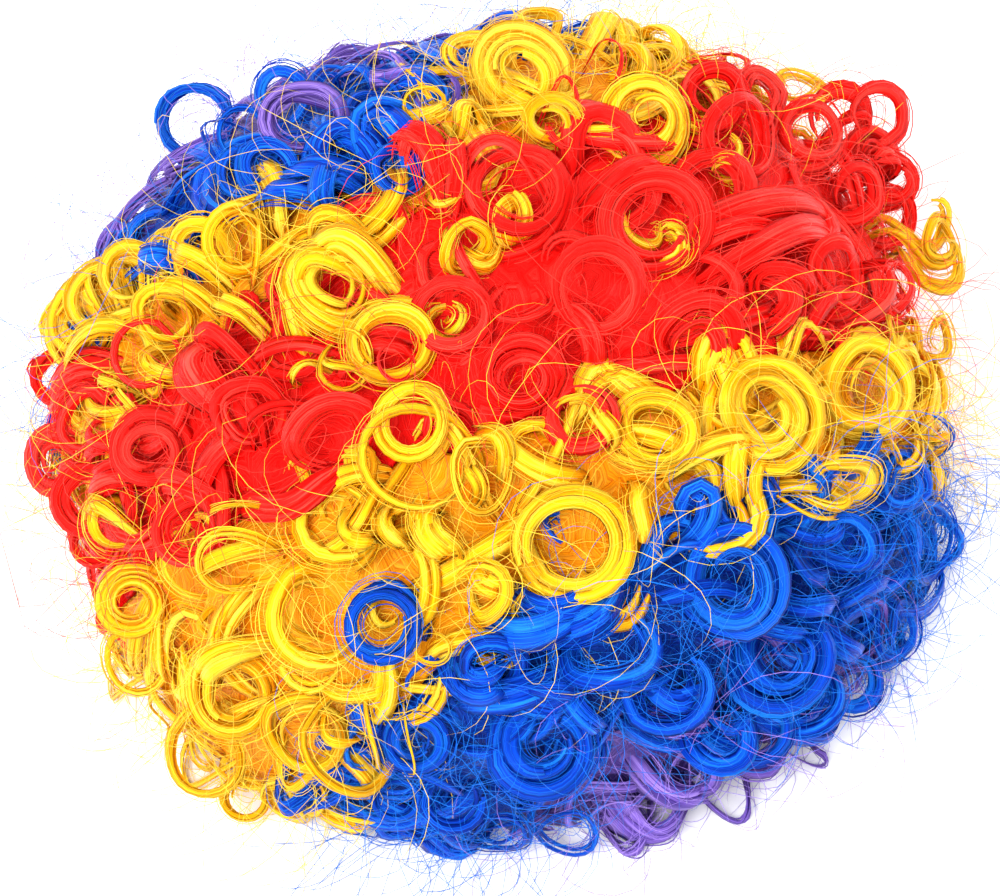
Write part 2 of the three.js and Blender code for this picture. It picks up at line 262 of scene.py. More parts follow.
# Kind, place in the view right and up from its middle, and radius. A curl that doesn't face the view also has
# its axis's turn to the right and up in degrees.
RED_CURLS = [
    ("ring", -12, 32, 11.5),
    ("hoop", 24, 41, 11),
    ("rosette", 48, 28, 14, 0, -35),
    ("rosette", 5, 18, 12),
    ("ring", 85, 43, 11.5, 35, 0),
    ("ring", 60, 78, 13, 40, 0),
    ("loop", 55, 96, 10, 0, 70),
    ("rosette", 92, 74, 10.5, 20, 0),
    ("ring", 39, 56, 15),
    ("ring", 4, 63, 15, 0, 20),
    ("rosette", -88, 0, 12),
    ("rosette", -110, -4, 11, -20, 0),
    ("ring", -110, 18, 9, -20, 0),
    ("arch", -22, 72, 6, 60, 0),
    ("curl", 70, 39, 11, 0, -40),
    ("loop", 98, 40, 8, 70, 0),
    ("loop", -88, 23, 9),
    ("curl", -62, 9, 11, 0, -30),
    ("curl", -77, -20, 10),
    ("curl", 20, 8, 10),
    ("curl", -42, 2, 12, 0, -40),
    ("curl", 97, 58, 9, 20, 0),
    ("loop", -26, 21, 5),
    ("ring", -102, -24, 7),
    ("ring", 78, 78, 11, 20, 10),
    ("curl", 84, 82, 11, 10, 0),
    ("curl", 95, 83, 11, 20, 0),
    ("rosette", 98, 67, 9, 25, 0),
    ("curl", 88, 64, 11, 10, 0),
    ("curl", 53, 87, 12, 10, 0),
    ("rosette", 65, 89, 9, 20, 10),
    ("curl", -104, 7, 11, -20, 0),
    ("curl", -103, -13, 11, -20, 0),
]
# Locks that lie in a bow: three places in the view, each right and up, half the width, and the height above
# the curls.
RED_BOWS = [
    (-15.8, 63.5, -1, 75, 17, 63.5, 2.6, 5),
    (18.8, 61.8, 32.8, 68.5, 48.3, 71.8, 3.5, 5),
    (6, 80.8, 16, 90, 20.5, 74, 0.5, 6),
    (20.5, 100.8, 28.3, 94.8, 21.5, 87, 0.5, 9),
    (46.8, 95.5, 55, 98, 65, 96, 1.2, 2),
    (65, 97, 67, 89, 68.5, 80.8, 2, 1),
    (83, 80, 92, 85, 100, 76, 2.5, 0),
    (99, 80, 100, 73, 99, 65, 3.3, 0),
    (45, 57.5, 68, 61, 93.5, 58.8, 4, 4),
    (52.8, 43.3, 70.5, 52, 96, 53.5, 4, 4),
    (45, 51, 60, 55, 80.8, 56, 3, 3),
    (98, 51, 100.5, 40.8, 98.5, 33.8, 1.8, 4),
    (95, 48.5, 95.5, 40.8, 91, 33.3, 2.6, 4),
    (69, 47, 70.5, 38, 69, 30.8, 4, 4),
    (-72.8, 29, -72.8, 17, -72, 5, 6, 7),
    (-67.8, 3.5, -59.5, 8.5, -46.8, 10.5, 1.8, 4),
    (-114.5, 28.3, -118, 20, -113.8, 8.5, 1.4, 1),
    (-116, 15.8, -108.8, 15.8, -100.5, 19, 4, 3),
    (-113.8, 9.5, -108, 13, -102, 15.8, 3, 3),
    (-108.8, 2.5, -100.3, 0, -95.3, -4, 3, 3),
    (-104, -4.8, -99, -8.8, -93, -9.8, 4, 3),
    (-99.8, 10.5, -99.8, 2.5, -94.3, -6.3, 2.5, 4),
    (-79.5, 19.5, -71.3, 28, -64.3, 12, 3, 5),
    (-27.5, 79.5, -21.3, 74.5, -16.3, 63.3, 4.5, 6),
    (-5, 77, -10, 71.3, -14.5, 63, 3, 5),
]


def seam_at(seam, x):
    """How far back a seam lies at a place across the wig."""
    return seam[0] + seam[1] * x + seam[2] * x * x


def share_of(dome, point):
    """Size of the dome that passes through a point, as a share of the given one."""
    wide = abs(point[0] / dome["half_wide"]) ** FULLNESS
    long = abs(point[1] / dome["half_long"]) ** FULLNESS
    plan = (wide + long) ** (1 / FULLNESS)
    return (plan ** ROUNDNESS + max(point[2] / dome["high"], 0) ** ROUNDNESS) ** (1 / ROUNDNESS)


def outwards(point):
    """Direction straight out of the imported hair."""
    reach = 0.5
    slope = Vector((0, 0, 0))
    for axis in range(3):
        step = Vector((0, 0, 0))
        step[axis] = reach
        slope[axis] = share_of(PACKED, point + step) - share_of(PACKED, point - step)
    return slope.normalized()


def seen_point(right, up):
    """The point of the hair that shows at a place of the view, or else the point nearest to the hair."""
    search = 160
    step = 0.5
    ray = (VIEW_AIM + RIGHT * right + UP * up - EYE).normalized()
    nearest = None
    least = math.inf
    along = VIEW_DISTANCE - search
    while along < VIEW_DISTANCE + search:
        point = EYE + ray * along
        if point.z < 0 or least <= 1:
            break
        share = share_of(LOCK_DOME, point)
        if share < least:
            least = share
            nearest = point
        along += step
    return nearest


def standing(centre, axis, radius, rise):
    """The middle of a curl, raised where the floor would cut it and drawn in where it would stand off."""
    reach = [radius * (math.sqrt(max(1 - part ** 2, 0)) + rise / 2 * abs(part)) for part in axis]
    x = min(max(centre.x, reach[0] + LEFT_LIMIT), RIGHT_LIMIT - reach[0])
    y = min(max(centre.y, reach[1] + FRONT_LIMIT), BACK_LIMIT - reach[1])
    return Vector((x, y, max(centre.z, reach[2] + FLOOR_GAP)))


def root_of(centre, front, back):
    """Where a curl's lock starts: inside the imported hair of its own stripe, below the curl."""
    margin = 5
    depth = 0.93
    root = centre.copy()
    for _ in range(20):
        root.y = min(max(root.y, seam_at(front, root.x) + margin), seam_at(back, root.x) - margin)
        root *= depth / max(share_of(PACKED, root), depth)
        root.z = max(root.z, margin)
    return root


class Guides:
    """Middle lines of locks, kept as chains of points with what the strands need to know at each."""

    def __init__(self):
        self.points = []
        self.edges = []
        self.along = []
        self.middle = []
        self.side = []
        self.face = []
        self.band = []
        self.depth = []
        self.free = []

    def add_curl(self, centre, axis, radius, kind, front, back, chance, steps=20):
        """A lock out of its root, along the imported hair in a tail, then round the curl's axis and inwards."""
        tail_opens = 0.8
        tail_drops = 0.3
        tail_held = 0.4
        tail_size = 0.985
        root_deeper = 0.09
        most_drift = 0.16
        wave = 0.1
        centre = standing(centre, axis, radius, kind["rise"])
        root = root_of(centre, front, back)
        across = root - centre
        across -= axis * across.dot(axis)
        if across.length < 0.5:
            across = axis.orthogonal()
        across.normalize()
        sideways = axis.cross(across)
        flat = chance.uniform(0.82, 1.0)
        flat_turn = chance.uniform(0, math.pi)
        warp_turn = chance.uniform(0, 2 * math.pi)
        wobble = chance.uniform(0.02, 0.08)
        drift = across * chance.uniform(-most_drift, most_drift)
        drift = drift + sideways * chance.uniform(-most_drift, most_drift)
        tail_count = max(int(round(kind["tail"] * steps)), 2)
        count = max(int(round(kind["turns"] * steps)), 6)
        points = []
        middles = []
        free = []
        for i in range(-tail_count, count + 1):
            share = max(i, 0) / count
            away = max(-i, 0) / tail_count
            turn = ENTRY_ANGLE + 2 * math.pi * i / steps
            narrowed = (1 - flat) * math.cos(turn - flat_turn) ** 2
            wobbled = wobble * math.sin(1.4 * turn + warp_turn)
            reach = radius * (1 - kind["band"]) * (1 - (1 - kind["inner"]) * share)
            reach *= 1 - narrowed + tail_opens * away ** 2 + wobbled
            lift = kind["rise"] * (share - 0.5) + wave * math.sin(2 * turn + warp_turn) - tail_drops * away
            middle = centre + axis * (radius * lift) + drift * (radius * share)
            point = middle + across * (reach * math.cos(turn)) + sideways * (reach * math.sin(turn))
            if i < 0:
                size = share_of(PACKED, point)
                point *= 1 + away * ((tail_size - root_deeper * away ** 2) / size - 1)
                point.z = max(point.z, radius * kind["band"])
            middles.append(middle)
            points.append(point)
            free.append(1.0 - tail_held * away)
        for _ in range(4):
            for i in range(1, tail_count + 2):
                points[i] = (points[i - 1] + points[i] * 2 + points[i + 1]) / 4
        radial = [(p - m).normalized() for p, m in zip(points, middles)]
        axes = [axis] * len(points)
        band, depth = radius * kind["band"], radius * kind["depth"]
        if band >= depth:
            self.add_chain(points, middles, radial, axes, band, depth, free)
        else:
            self.add_chain(points, middles, axes, radial, depth, band, free)

    def add_swirl(self, point, heading, length, bend, sway, half_width, lift, front, back, steps=12):
        """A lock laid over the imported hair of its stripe, bending as it goes, with both ends in the hair."""
        ends_sunk = 4
        steering = 0.12
        lowest = 2.0
        points = []
        faces = []
        for i in range(steps + 1):
            share = i / steps
            face = outwards(point)
            heading = (heading - face * heading.dot(face)).normalized()
            raised = point + face * ((lift + ends_sunk) * math.sin(math.pi * share) ** 0.7 - ends_sunk)
            points.append(Vector((raised.x, raised.y, max(raised.z, half_width * 0.5 + 0.5))))
            faces.append(face)
            heading = Matrix.Rotation(bend + sway * math.cos(2 * math.pi * share), 3, face) @ heading
            over = max(point.y - seam_at(back, point.x), 0) - max(seam_at(front, point.x) - point.y, 0)
            heading = (heading - Vector((0, steering * over, 0))).normalized()
            point = point + heading * (length / steps)
            point = point / share_of(PACKED, point)
            point.z = max(point.z, lowest)
        self.add_flat(points, faces, half_width)

    def add_bow(self, start, top, end, half_width, lift, steps=16):
        """A lock in a bow over the hair: out of it, over three places of the view and back into it.

        A bow that is much longer than it looks, because it runs along the line of sight, sways to its sides.
        """
        ends_deep = 0.9
        smoothing = 10
        sway_share = 0.12
        usual_length = 1.5
        points = []
        faces = []
        for i in range(steps + 1):
            share = i / steps
            weights = (1 - share) * (1 - 2 * share), 4 * share * (1 - share), share * (2 * share - 1)
            right, up = (sum(w * place[k] for w, place in zip(weights, (start, top, end))) for k in (0, 1))
            point = seen_point(right, up)
            face = outwards(point)
            buried = point * (ends_deep / share_of(PACKED, point))
            point = buried.lerp(point + face * lift, math.sin(math.pi * share) ** 0.6)
            points.append(Vector((point.x, point.y, max(point.z, half_width * 0.4 + 0.5))))
            faces.append(face)
        for _ in range(smoothing):
            inner = zip(points, points[1:], points[2:])
            smoothed = [(before + at * 2 + after) / 4 for before, at, after in inner]
            points = points[:1] + smoothed + points[-1:]
        length = sum((after - before).length for before, after in zip(points, points[1:]))
        seen_length = math.dist(start, top) + math.dist(top, end)
        sway = sway_share * max(length - usual_length * seen_length, 0)
        swayed = []
        for i, face in enumerate(faces):
            ahead = points[min(i + 1, steps)] - points[max(i - 1, 0)]
            move = ahead.cross(face).normalized() * (sway * math.sin(2 * math.pi * i / steps))
            swayed.append(points[i] + Vector((move.x, move.y, max(move.z, 1 - points[i].z))))
        self.add_flat(swayed, faces, half_width)

    def add_flat(self, points, faces, half_width):
        """A flat lock along a line, lying with its wide side on the hair."""
        bend_radius = 8
        thickness = 0.4
        sides = []
        for i, face in enumerate(faces):
            ahead = points[min(i + 1, len(points) - 1)] - points[max(i - 1, 0)]
            sides.append(ahead.cross(face).normalized())
        middles = [p - s * bend_radius for p, s in zip(points, sides)]
        free = [1.0] * len(points)
        self.add_chain(points, middles, sides, faces, half_width, half_width * thickness, free)

    def add_chain(self, points, middles, sides, faces, band, depth, free):
        """One guide: its points, and at each the curl's middle, the lock's directions and its half sizes."""
        first = len(self.points)
        lengths = [0.0]
        for before, after in zip(points, points[1:]):
            lengths.append(lengths[-1] + (after - before).length)
        for i, point in enumerate(points):
            self.points.append(point)
            self.along.append(lengths[i] / lengths[-1])
            self.middle.append(middles[i])
            self.side.append(sides[i])
            self.face.append(faces[i])
            self.band.append(band * MILLIMETRE)
            self.depth.append(depth * MILLIMETRE)
            self.free.append(free[i])
            if i:
                self.edges.append((first + i - 1, first + i))

    def mesh(self, name):
        """All the guides as one mesh of edges that carries their values."""
        mesh = bpy.data.meshes.new(name)
        mesh.from_pydata([tuple(p) for p in in_frame(self.points)], self.edges, [])
        for label in ("along", "band", "depth", "free"):
            mesh.attributes.new(label, "FLOAT", "POINT").data.foreach_set("value", getattr(self, label))
        middles = in_frame([tuple(m) for m in self.middle])
        sides = numpy.array([tuple(s) for s in self.side])
        faces = numpy.array([tuple(f) for f in self.face])
        for label, values in (("middle", middles), ("side", sides), ("face", faces)):
            mesh.attributes.new(label, "FLOAT_VECTOR", "POINT").data.foreach_set("vector", values.ravel())
        return mesh


def new_tree(name, inputs):
    """An empty geometry tree with its named inputs, their usual values and a material."""
    tree = bpy.data.node_groups.new(name, "GeometryNodeTree")
    tree.interface.new_socket("Geometry", in_out="INPUT", socket_type="NodeSocketGeometry")
    for label, value in inputs.items():
        kind = "NodeSocketInt" if isinstance(value, int) else "NodeSocketFloat"
        tree.interface.new_socket(label, in_out="INPUT", socket_type=kind).default_value = value
    tree.interface.new_socket("Material", in_out="INPUT", socket_type="NodeSocketMaterial")
    tree.interface.new_socket("Geometry", in_out="OUTPUT", socket_type="NodeSocketGeometry")
    return tree


def grown_mesh(name, source, tree, values):
    """The mesh that a geometry tree grows from another mesh."""
    carrier = bpy.data.objects.new(name, source)
    bpy.context.scene.collection.objects.link(carrier)
    modifier = carrier.modifiers.new(name, "NODES")
    modifier.node_group = tree
    for item in tree.interface.items_tree:
        if item.in_out == "INPUT" and item.name in values:
            modifier[item.identifier] = values[item.name]
    evaluated = carrier.evaluated_get(bpy.context.evaluated_depsgraph_get())
    made = bpy.data.meshes.new_from_object(evaluated)
    made.name = name
    bpy.data.objects.remove(carrier)
    bpy.data.meshes.remove(source)
    return made


def vectors(tree, operation, *values):
    """A vector worked out from others."""
    made = add_node(tree, "ShaderNodeVectorMath", operation=operation)
    for i, value in enumerate(values):
        socket = made.inputs["Scale"] if operation == "SCALE" and i == 1 else made.inputs[i]
        if isinstance(value, bpy.types.NodeSocket):
            tree.links.new(value, socket)
        else:
            socket.default_value = value
    return made.outputs["Value"] if operation in ("DOT_PRODUCT", "LENGTH") else made.outputs["Vector"]


def named(tree, label, kind):
    """A named value that the guide carries at each point."""
    made = add_node(tree, "GeometryNodeInputNamedAttribute", {"Name": label}, data_type=kind)
    return made.outputs["Attribute"]


def remapped(tree, value, low, high, first, last):
    """A number carried over from one range to another and kept within it."""
    return output_of(tree, "ShaderNodeMapRange", {"Value": value, 1: low, 2: high, 3: first, 4: last})


def by_chance(tree, seed, shift, low, high):
    """A random number or vector between two limits."""
    is_vector = isinstance(low, tuple)
    first = 0 if is_vector else 2
    sockets = {first: low, first + 1: high, "Seed": maths(tree, "ADD", seed, shift)}
    kind = "FLOAT_VECTOR" if is_vector else "FLOAT"
    made = add_node(tree, "FunctionNodeRandomValue", sockets, data_type=kind)
    return made.outputs[0 if is_vector else 1]


def stored(tree, geometry, label, value, kind, domain):
    """The same geometry with a value kept under a name."""
    sockets = {0: geometry, "Name": label, "Value": value}
    return output_of(tree, "GeometryNodeStoreNamedAttribute", sockets, data_type=kind, domain=domain)


def strayed(tree, sockets, most, **settings):
    """A move to any side, from noise that is smooth along a strand."""
    waves = add_node(tree, "ShaderNodeTexNoise", {**sockets, "Detail": 0.0}, **settings)
    middle = vectors(tree, "SUBTRACT", waves.outputs["Color"], (0.5, 0.5, 0.5))
    return vectors(tree, "SCALE", middle, most)


def kept_inside(tree, curve, lowest):
    """The same curve with nothing below the floor and no hair flying far off."""
    place = output_of(tree, "GeometryNodeInputPosition")
    raised = vectors(tree, "MAXIMUM", place, (-STRAND_ROOM[0], -STRAND_ROOM[1], lowest))
    lowered = vectors(tree, "MINIMUM", raised, STRAND_ROOM)
    return output_of(tree, "GeometryNodeSetPosition", {0: curve, "Position": lowered})


def strand_mesh(tree, curve, half_width, flatness, sides, along, tone, window, first, last):
    """Closed tubes along curves, with the map that the hair material reads: across, and root to tip."""
    circle = output_of(tree, "GeometryNodeCurvePrimitiveCircle", {"Resolution": sides, "Radius": 1.0})
    squash = output_of(tree, "ShaderNodeCombineXYZ", {0: flatness, 1: 1.0, 2: 1.0})
    profile = output_of(tree, "GeometryNodeTransform", {0: circle, "Scale": squash})
    share = output_of(tree, "GeometryNodeSplineParameter")
    folded = maths(tree, "ABSOLUTE", maths(tree, "MULTIPLY_ADD", share, 2.0, -1.0))
    section = stored(tree, profile, "around", folded, "FLOAT", "POINT")
    rooted = remapped(tree, along, 0.0, 0.12, 0.3, 1.0)
    tipped = remapped(tree, along, 0.72, 1.0, 1.0, 0.12)
    size = maths(tree, "MULTIPLY", maths(tree, "MULTIPLY", rooted, tipped), half_width)
    swept = {0: curve, 1: section, "Scale": size, "Fill Caps": True}
    tubes = output_of(tree, "GeometryNodeCurveToMesh", swept)
    place = output_of(tree, "GeometryNodeInputPosition")
    lifted = vectors(tree, "MAXIMUM", place, (-1.0, -1.0, 0.0001))
    tubes = output_of(tree, "GeometryNodeSetPosition", {0: tubes, "Position": lifted})
    own_place = maths(tree, "MULTIPLY", tone, 0.94)
    across = maths(tree, "MULTIPLY_ADD", named(tree, "around", "FLOAT"), window, own_place)
    lengthwise = remapped(tree, along, 0.0, 1.0, first, last)
    mapped = output_of(tree, "ShaderNodeCombineXYZ", {0: across, 1: lengthwise})
    return stored(tree, tubes, "OFBake", mapped, "FLOAT2", "CORNER")


def finished_tree(tree, mesh, material):
    """The tree's end: smooth, realized and with its material."""
    smooth = output_of(tree, "GeometryNodeSetShadeSmooth", {0: mesh})
    whole = output_of(tree, "GeometryNodeRealizeInstances", {0: smooth})
    dressed = output_of(tree, "GeometryNodeSetMaterial", {0: whole, "Material": material})
    add_node(tree, "NodeGroupOutput", {0: dressed})
    return tree


def lock_tree():
    """Strands laid along guides, each with its own place, twist and lean in the lock and a little wander."""
    tree = new_tree("lock_strands", {
        "Count": 0.0, "Count For Band": 0.0, "Half Width": 0.0, "Width Share": 0.0, "Flatness": 1.0,
        "Roll": 0.0, "Sides": 3, "Inner": 0.0, "Outer": 1.0, "Twist": 1.0, "Lean": 0.1, "Loose": 0.1,
        "Wander": 0.001, "Window": 0.05, "First": 0.02, "Last": 0.8, "Seed": 1,
    })
    given = add_node(tree, "NodeGroupInput").outputs
    guides = output_of(tree, "GeometryNodeMeshToCurve", {0: given["Geometry"]})
    band = named(tree, "band", "FLOAT")
    amount = maths(tree, "MULTIPLY_ADD", band, given["Count For Band"], given["Count"])
    sockets = {0: guides, "Amount": maths(tree, "ROUND", amount)}
    copies = output_of(tree, "GeometryNodeDuplicateElements", sockets, domain="SPLINE")
    own = add_node(tree, "GeometryNodeCaptureAttribute", {0: copies}, domain="CURVE")
    least = (-1.0, -1.0, -1.0)
    most = (1.0, 1.0, 1.0)
    draws = (("place", "VECTOR", least, most), ("lean", "VECTOR", least, most), ("tone", "FLOAT", 0.0, 1.0))
    for order, (label, kind, low, high) in enumerate(draws):
        own.capture_items.new(kind, label)
        tree.links.new(by_chance(tree, given["Seed"], 17.0 * order, low, high), own.inputs[label])
    place = add_node(tree, "ShaderNodeSeparateXYZ", {0: own.outputs["place"]}).outputs
    leaning = own.outputs["lean"]
    lean = add_node(tree, "ShaderNodeSeparateXYZ", {0: leaning}).outputs
    tone = own.outputs["tone"]
    along = named(tree, "along", "FLOAT")
    side = named(tree, "side", "FLOAT_VECTOR")
    face = named(tree, "face", "FLOAT_VECTOR")
    point = output_of(tree, "GeometryNodeInputPosition")
    twisted = maths(tree, "MULTIPLY", maths(tree, "MULTIPLY", lean["Z"], along), given["Twist"])
    angle = maths(tree, "MULTIPLY_ADD", place["X"], math.pi, twisted)
    shell = remapped(tree, place["Y"], -1.0, 1.0, given["Inner"], given["Outer"])
    wide = maths(tree, "MULTIPLY", maths(tree, "COSINE", angle), band)
    deep = maths(tree, "MULTIPLY", maths(tree, "SINE", angle), named(tree, "depth", "FLOAT"))
    across = vectors(tree, "SCALE", side, maths(tree, "MULTIPLY", wide, shell))
    outwards_from = vectors(tree, "SUBTRACT", point, named(tree, "middle", "FLOAT_VECTOR"))
    tilt = maths(tree, "MULTIPLY", vectors(tree, "DOT_PRODUCT", outwards_from, leaning), given["Lean"])
    raised = vectors(tree, "SCALE", face, maths(tree, "ADD", maths(tree, "MULTIPLY", deep, shell), tilt))
    eccentric = vectors(tree, "SCALE", leaning, maths(tree, "MULTIPLY", band, given["Loose"]))
    sockets = {"Vector": point, "W": maths(tree, "MULTIPLY", tone, 90.0), "Scale": 40.0}
    stray = strayed(tree, sockets, given["Wander"], noise_dimensions="4D")
    moved = vectors(tree, "ADD", vectors(tree, "ADD", across, raised), vectors(tree, "ADD", eccentric, stray))
    moved = vectors(tree, "SCALE", moved, named(tree, "free", "FLOAT"))
    laid = output_of(tree, "GeometryNodeSetPosition", {0: own.outputs[0], "Offset": moved})
    ends = remapped(tree, place["Z"], -1.0, 1.0, 0.82, 1.0)
    cut = output_of(tree, "GeometryNodeTrimCurve", {0: laid, "End": ends}, mode="FACTOR")
    inside = kept_inside(tree, cut, 0.0006)
    rolled = vectors(tree, "SCALE", side, maths(tree, "MULTIPLY", lean["X"], given["Roll"]))
    normal = vectors(tree, "NORMALIZE", vectors(tree, "ADD", face, rolled))
    flat = output_of(tree, "GeometryNodeSetCurveNormal", {0: inside, "Normal": normal}, mode="FREE")
    half_width = maths(tree, "MULTIPLY_ADD", band, given["Width Share"], given["Half Width"])
    shape = (half_width, given["Flatness"], given["Sides"])
    tubes = strand_mesh(tree, flat, *shape, along, tone, given["Window"], given["First"], given["Last"])
    return finished_tree(tree, tubes, given["Material"])


def frizz_tree():
    """Single stray fibres lying over the hair all round, each a part of a loose spiral."""
    tree = new_tree("frizz_fibres", {
        "Density": 10000.0, "Half Width": 0.000075, "Least Size": 0.45, "Most Size": 1.35, "Wander": 0.006,
        "Seed": 1,
    })
    given = add_node(tree, "NodeGroupInput").outputs
    seed = given["Seed"]
    sockets = {0: given["Geometry"], "Density": given["Density"], "Seed": seed}
    points = add_node(tree, "GeometryNodeDistributePointsOnFaces", sockets).outputs
    winding = {"Resolution": 20, "Rotations": 0.42, "Start Radius": 0.016, "End Radius": 0.010}
    spiral = output_of(tree, "GeometryNodeCurveSpiral", {**winding, "Height": 0.007})
    rooted = output_of(tree, "GeometryNodeTransform", {0: spiral, "Translation": (-0.014, -0.008, 0.003)})
    turn = by_chance(tree, seed, 5.0, (-1.1, -1.1, -3.14), (1.1, 1.1, 3.14))
    sockets = {0: points["Rotation"], 1: turn}
    facing = output_of(tree, "FunctionNodeRotateRotation", sockets, rotation_space="LOCAL")
    size = by_chance(tree, seed, 9.0, given["Least Size"], given["Most Size"])
    sockets = {0: points["Points"], "Instance": rooted, "Rotation": facing, "Scale": size}
    fibres = output_of(tree, "GeometryNodeInstanceOnPoints", sockets)
    own = stored(tree, fibres, "tone", by_chance(tree, seed, 13.0, 0.0, 1.0), "FLOAT", "INSTANCE")
    whole = output_of(tree, "GeometryNodeRealizeInstances", {0: own})
    stray = strayed(tree, {"Scale": 36.0}, given["Wander"])
    laid = output_of(tree, "GeometryNodeSetPosition", {0: whole, "Offset": stray})
    inside = kept_inside(tree, laid, 0.0004)
    kept = stored(tree, inside, "along", output_of(tree, "GeometryNodeSplineParameter"), "FLOAT", "POINT")
    along = named(tree, "along", "FLOAT")
    tone = named(tree, "tone", "FLOAT")
    # The frizz lies at the far end of the map, where the hair material paints it lighter as a painted
    # highlight.
    tubes = strand_mesh(tree, kept, given["Half Width"], 1.0, 3, along, tone, 0.003, 0.84, 0.99)
    return finished_tree(tree, tubes, given["Material"])


LOCK_TREE = lock_tree()
FRIZZ_TREE = frizz_tree()


def mixed_colour(tree, share, first, second):
    """A colour between two others."""
    made = add_node(tree, "ShaderNodeMix", {0: share, 6: first, 7: second}, data_type="RGBA")
    return made.outputs[2]


def hair_material(name, shade, deep, middle, light):
    """Satin synthetic fibre: fine streaks along the strands, each with its own tone; dark towards the root as
    painted shade, and stray fibres lighter as a painted highlight.
    """
    material, tree, shader = new_material(name)
    place = output_of(tree, "ShaderNodeUVMap", uv_map="OFBake")
    apart = add_node(tree, "ShaderNodeSeparateXYZ", {0: place}).outputs
    streaks = []
    for across, along in ((330.0, 5.0), (140.0, 2.5)):
        stretched = vectors(tree, "MULTIPLY", place, (across, along, 1.0))
        sockets = {"Vector": stretched, "Scale": 1.0, "Detail": 1.0}
        streaks.append(output_of(tree, "ShaderNodeTexNoise", sockets, noise_dimensions="2D"))
    sockets = {"W": maths(tree, "MULTIPLY", apart["X"], 30.0), "Scale": 1.0, "Detail": 0.0}
    tones = output_of(tree, "ShaderNodeTexNoise", sockets, noise_dimensions="1D")
    relief = maths(tree, "MULTIPLY_ADD", streaks[0], 0.4, maths(tree, "MULTIPLY", streaks[1], 0.6))
    toned = maths(tree, "MULTIPLY_ADD", relief, 0.75, maths(tree, "MULTIPLY", tones, 0.25))
    ramp = add_node(tree, "ShaderNodeValToRGB", {"Fac": toned})
    ramp.color_ramp.elements.new(0.65)
    for place_on, element, colour in zip((0.36, 0.50, 0.65), ramp.color_ramp.elements, (deep, middle, light)):
        element.position = place_on
        element.color = (*colour, 1)
    # Painted shade: towards the root end of the map the colour goes over to a dark mix of shade and deep, which
    # darkens the roots and the packed hair between the locks.
    rooted = remapped(tree, apart["Y"], 0.02, 0.18, 0.9, 0.0)
    lines = remapped(tree, relief, 0.42, 0.62, 0.0, 1.0)
    root_shade_colour = mixed_colour(tree, lines, (*shade, 1), (*deep, 1))
    grown = mixed_colour(tree, rooted, ramp.outputs["Color"], root_shade_colour)
    # Painted highlight: single fibres and frizz, at the far end of the map, are painted most of the way to the
    # light colour.
    stray_highlight = remapped(tree, apart["Y"], 0.82, 0.83, 0.0, 0.7)
    bump = output_of(tree, "ShaderNodeBump", {"Height": relief, "Strength": 0.9, "Distance": 0.0004})
    around = output_of(tree, "ShaderNodeTangent", direction_type="UV_MAP", uv_map="OFBake")
    tree.links.new(mixed_colour(tree, stray_highlight, grown, (*light, 1)), shader.inputs["Base Color"])
    tree.links.new(bump, shader.inputs["Normal"])
    tree.links.new(around, shader.inputs["Tangent"])
    shader.inputs["Roughness"].default_value = 0.38
    shader.inputs["Anisotropic"].default_value = 0.85
    shader.inputs["Specular IOR Level"].default_value = 0.55
    tint = [0.05 + 0.95 * channel for channel in light]
    shader.inputs["Specular Tint"].default_value = (*tint, 1)
    return material


def lane_ends(front, back, share):
    """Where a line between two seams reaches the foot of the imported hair, on the left and on the right."""
    inside = []
    for i in range(-280, 281):
        x = i / 2
        y = seam_at(front, x) * (1 - share) + seam_at(back, x) * share
        if share_of(PACKED, (x, y, 0)) <= 1:
            inside.append(x)
    return (inside[0], inside[-1]) if inside else None


def ragged(seam, x, unevenness):
    """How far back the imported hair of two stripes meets, uneven along the seam."""
    return seam_at(seam, x) + unevenness * noise.noise(Vector((x / 9, seam[0], 0)))


def outer_rows(front, back, lanes, steps):
    """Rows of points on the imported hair's outside, from seam to seam, each from the floor over to the floor.

    A first or last row that stays low is closed down to the floor by one more.
    """
    edge_share = 0.002
    crowding = 0.08
    most_uneven = 4
    full_length = 150
    low = 30
    foot_spread = 1.002
    rows = []
    for lane in range(lanes + 1):
        even = lane / lanes
        share = edge_share + (1 - 2 * edge_share) * (even - crowding * math.sin(2 * math.pi * even))
        ends = lane_ends(front, back, share)
        if ends is None:
            continue
        length = ends[1] - ends[0]
        row = []
        for step in range(steps + 1):
            x = (ends[0] + ends[1]) / 2 - length / 2 * math.cos(math.pi * step / steps)
            uneven = most_uneven * math.sin(math.pi * step / steps) * min(length / full_length, 1) ** 2
            y = ragged(front, x, uneven) * (1 - share) + ragged(back, x, uneven) * share
            plan = min(share_of(PACKED, (x, y, 0)), 1)
            height = PACKED["high"] * (1 - plan ** ROUNDNESS) ** (1 / ROUNDNESS)
            row.append(Vector((x, y, 0 if step in (0, steps) else height)))
        rows.append(row)
    for place, row in ((0, rows[0]), (len(rows) + 1, rows[-1])):
        if max(p.z for p in row) < low:
            rows.insert(place, [Vector((p.x * foot_spread, p.y * foot_spread, 0)) for p in row])
    return rows


def packed_swirls(rows, chance):
    """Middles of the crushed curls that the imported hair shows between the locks."""
    apart = 12
    choices = [p for row in rows for p in row]
    middles = []
    for _ in range(500):
        point = chance.choice(choices)
        if all((point - m).length > apart for m in middles):
            middles.append(point)
    return middles


def bumpy(point, middles):
    """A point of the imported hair, moved by its crushed curls, and how far it lies from a curl's middle."""
    ridges_apart = 6.5
    ridge_high = 1.1
    swell = 2.2
    sunk = 3.0
    away = min((point - m).length for m in middles) + 2.5 * noise.noise(point / 7)
    ridge = ridge_high * math.cos(away * 2 * math.pi / ridges_apart)
    moved = point + outwards(point) * (ridge + swell * noise.noise(point / 13) - sunk)
    return Vector((moved.x, moved.y, max(moved.z, 0) if point.z > 0 else 0)), away


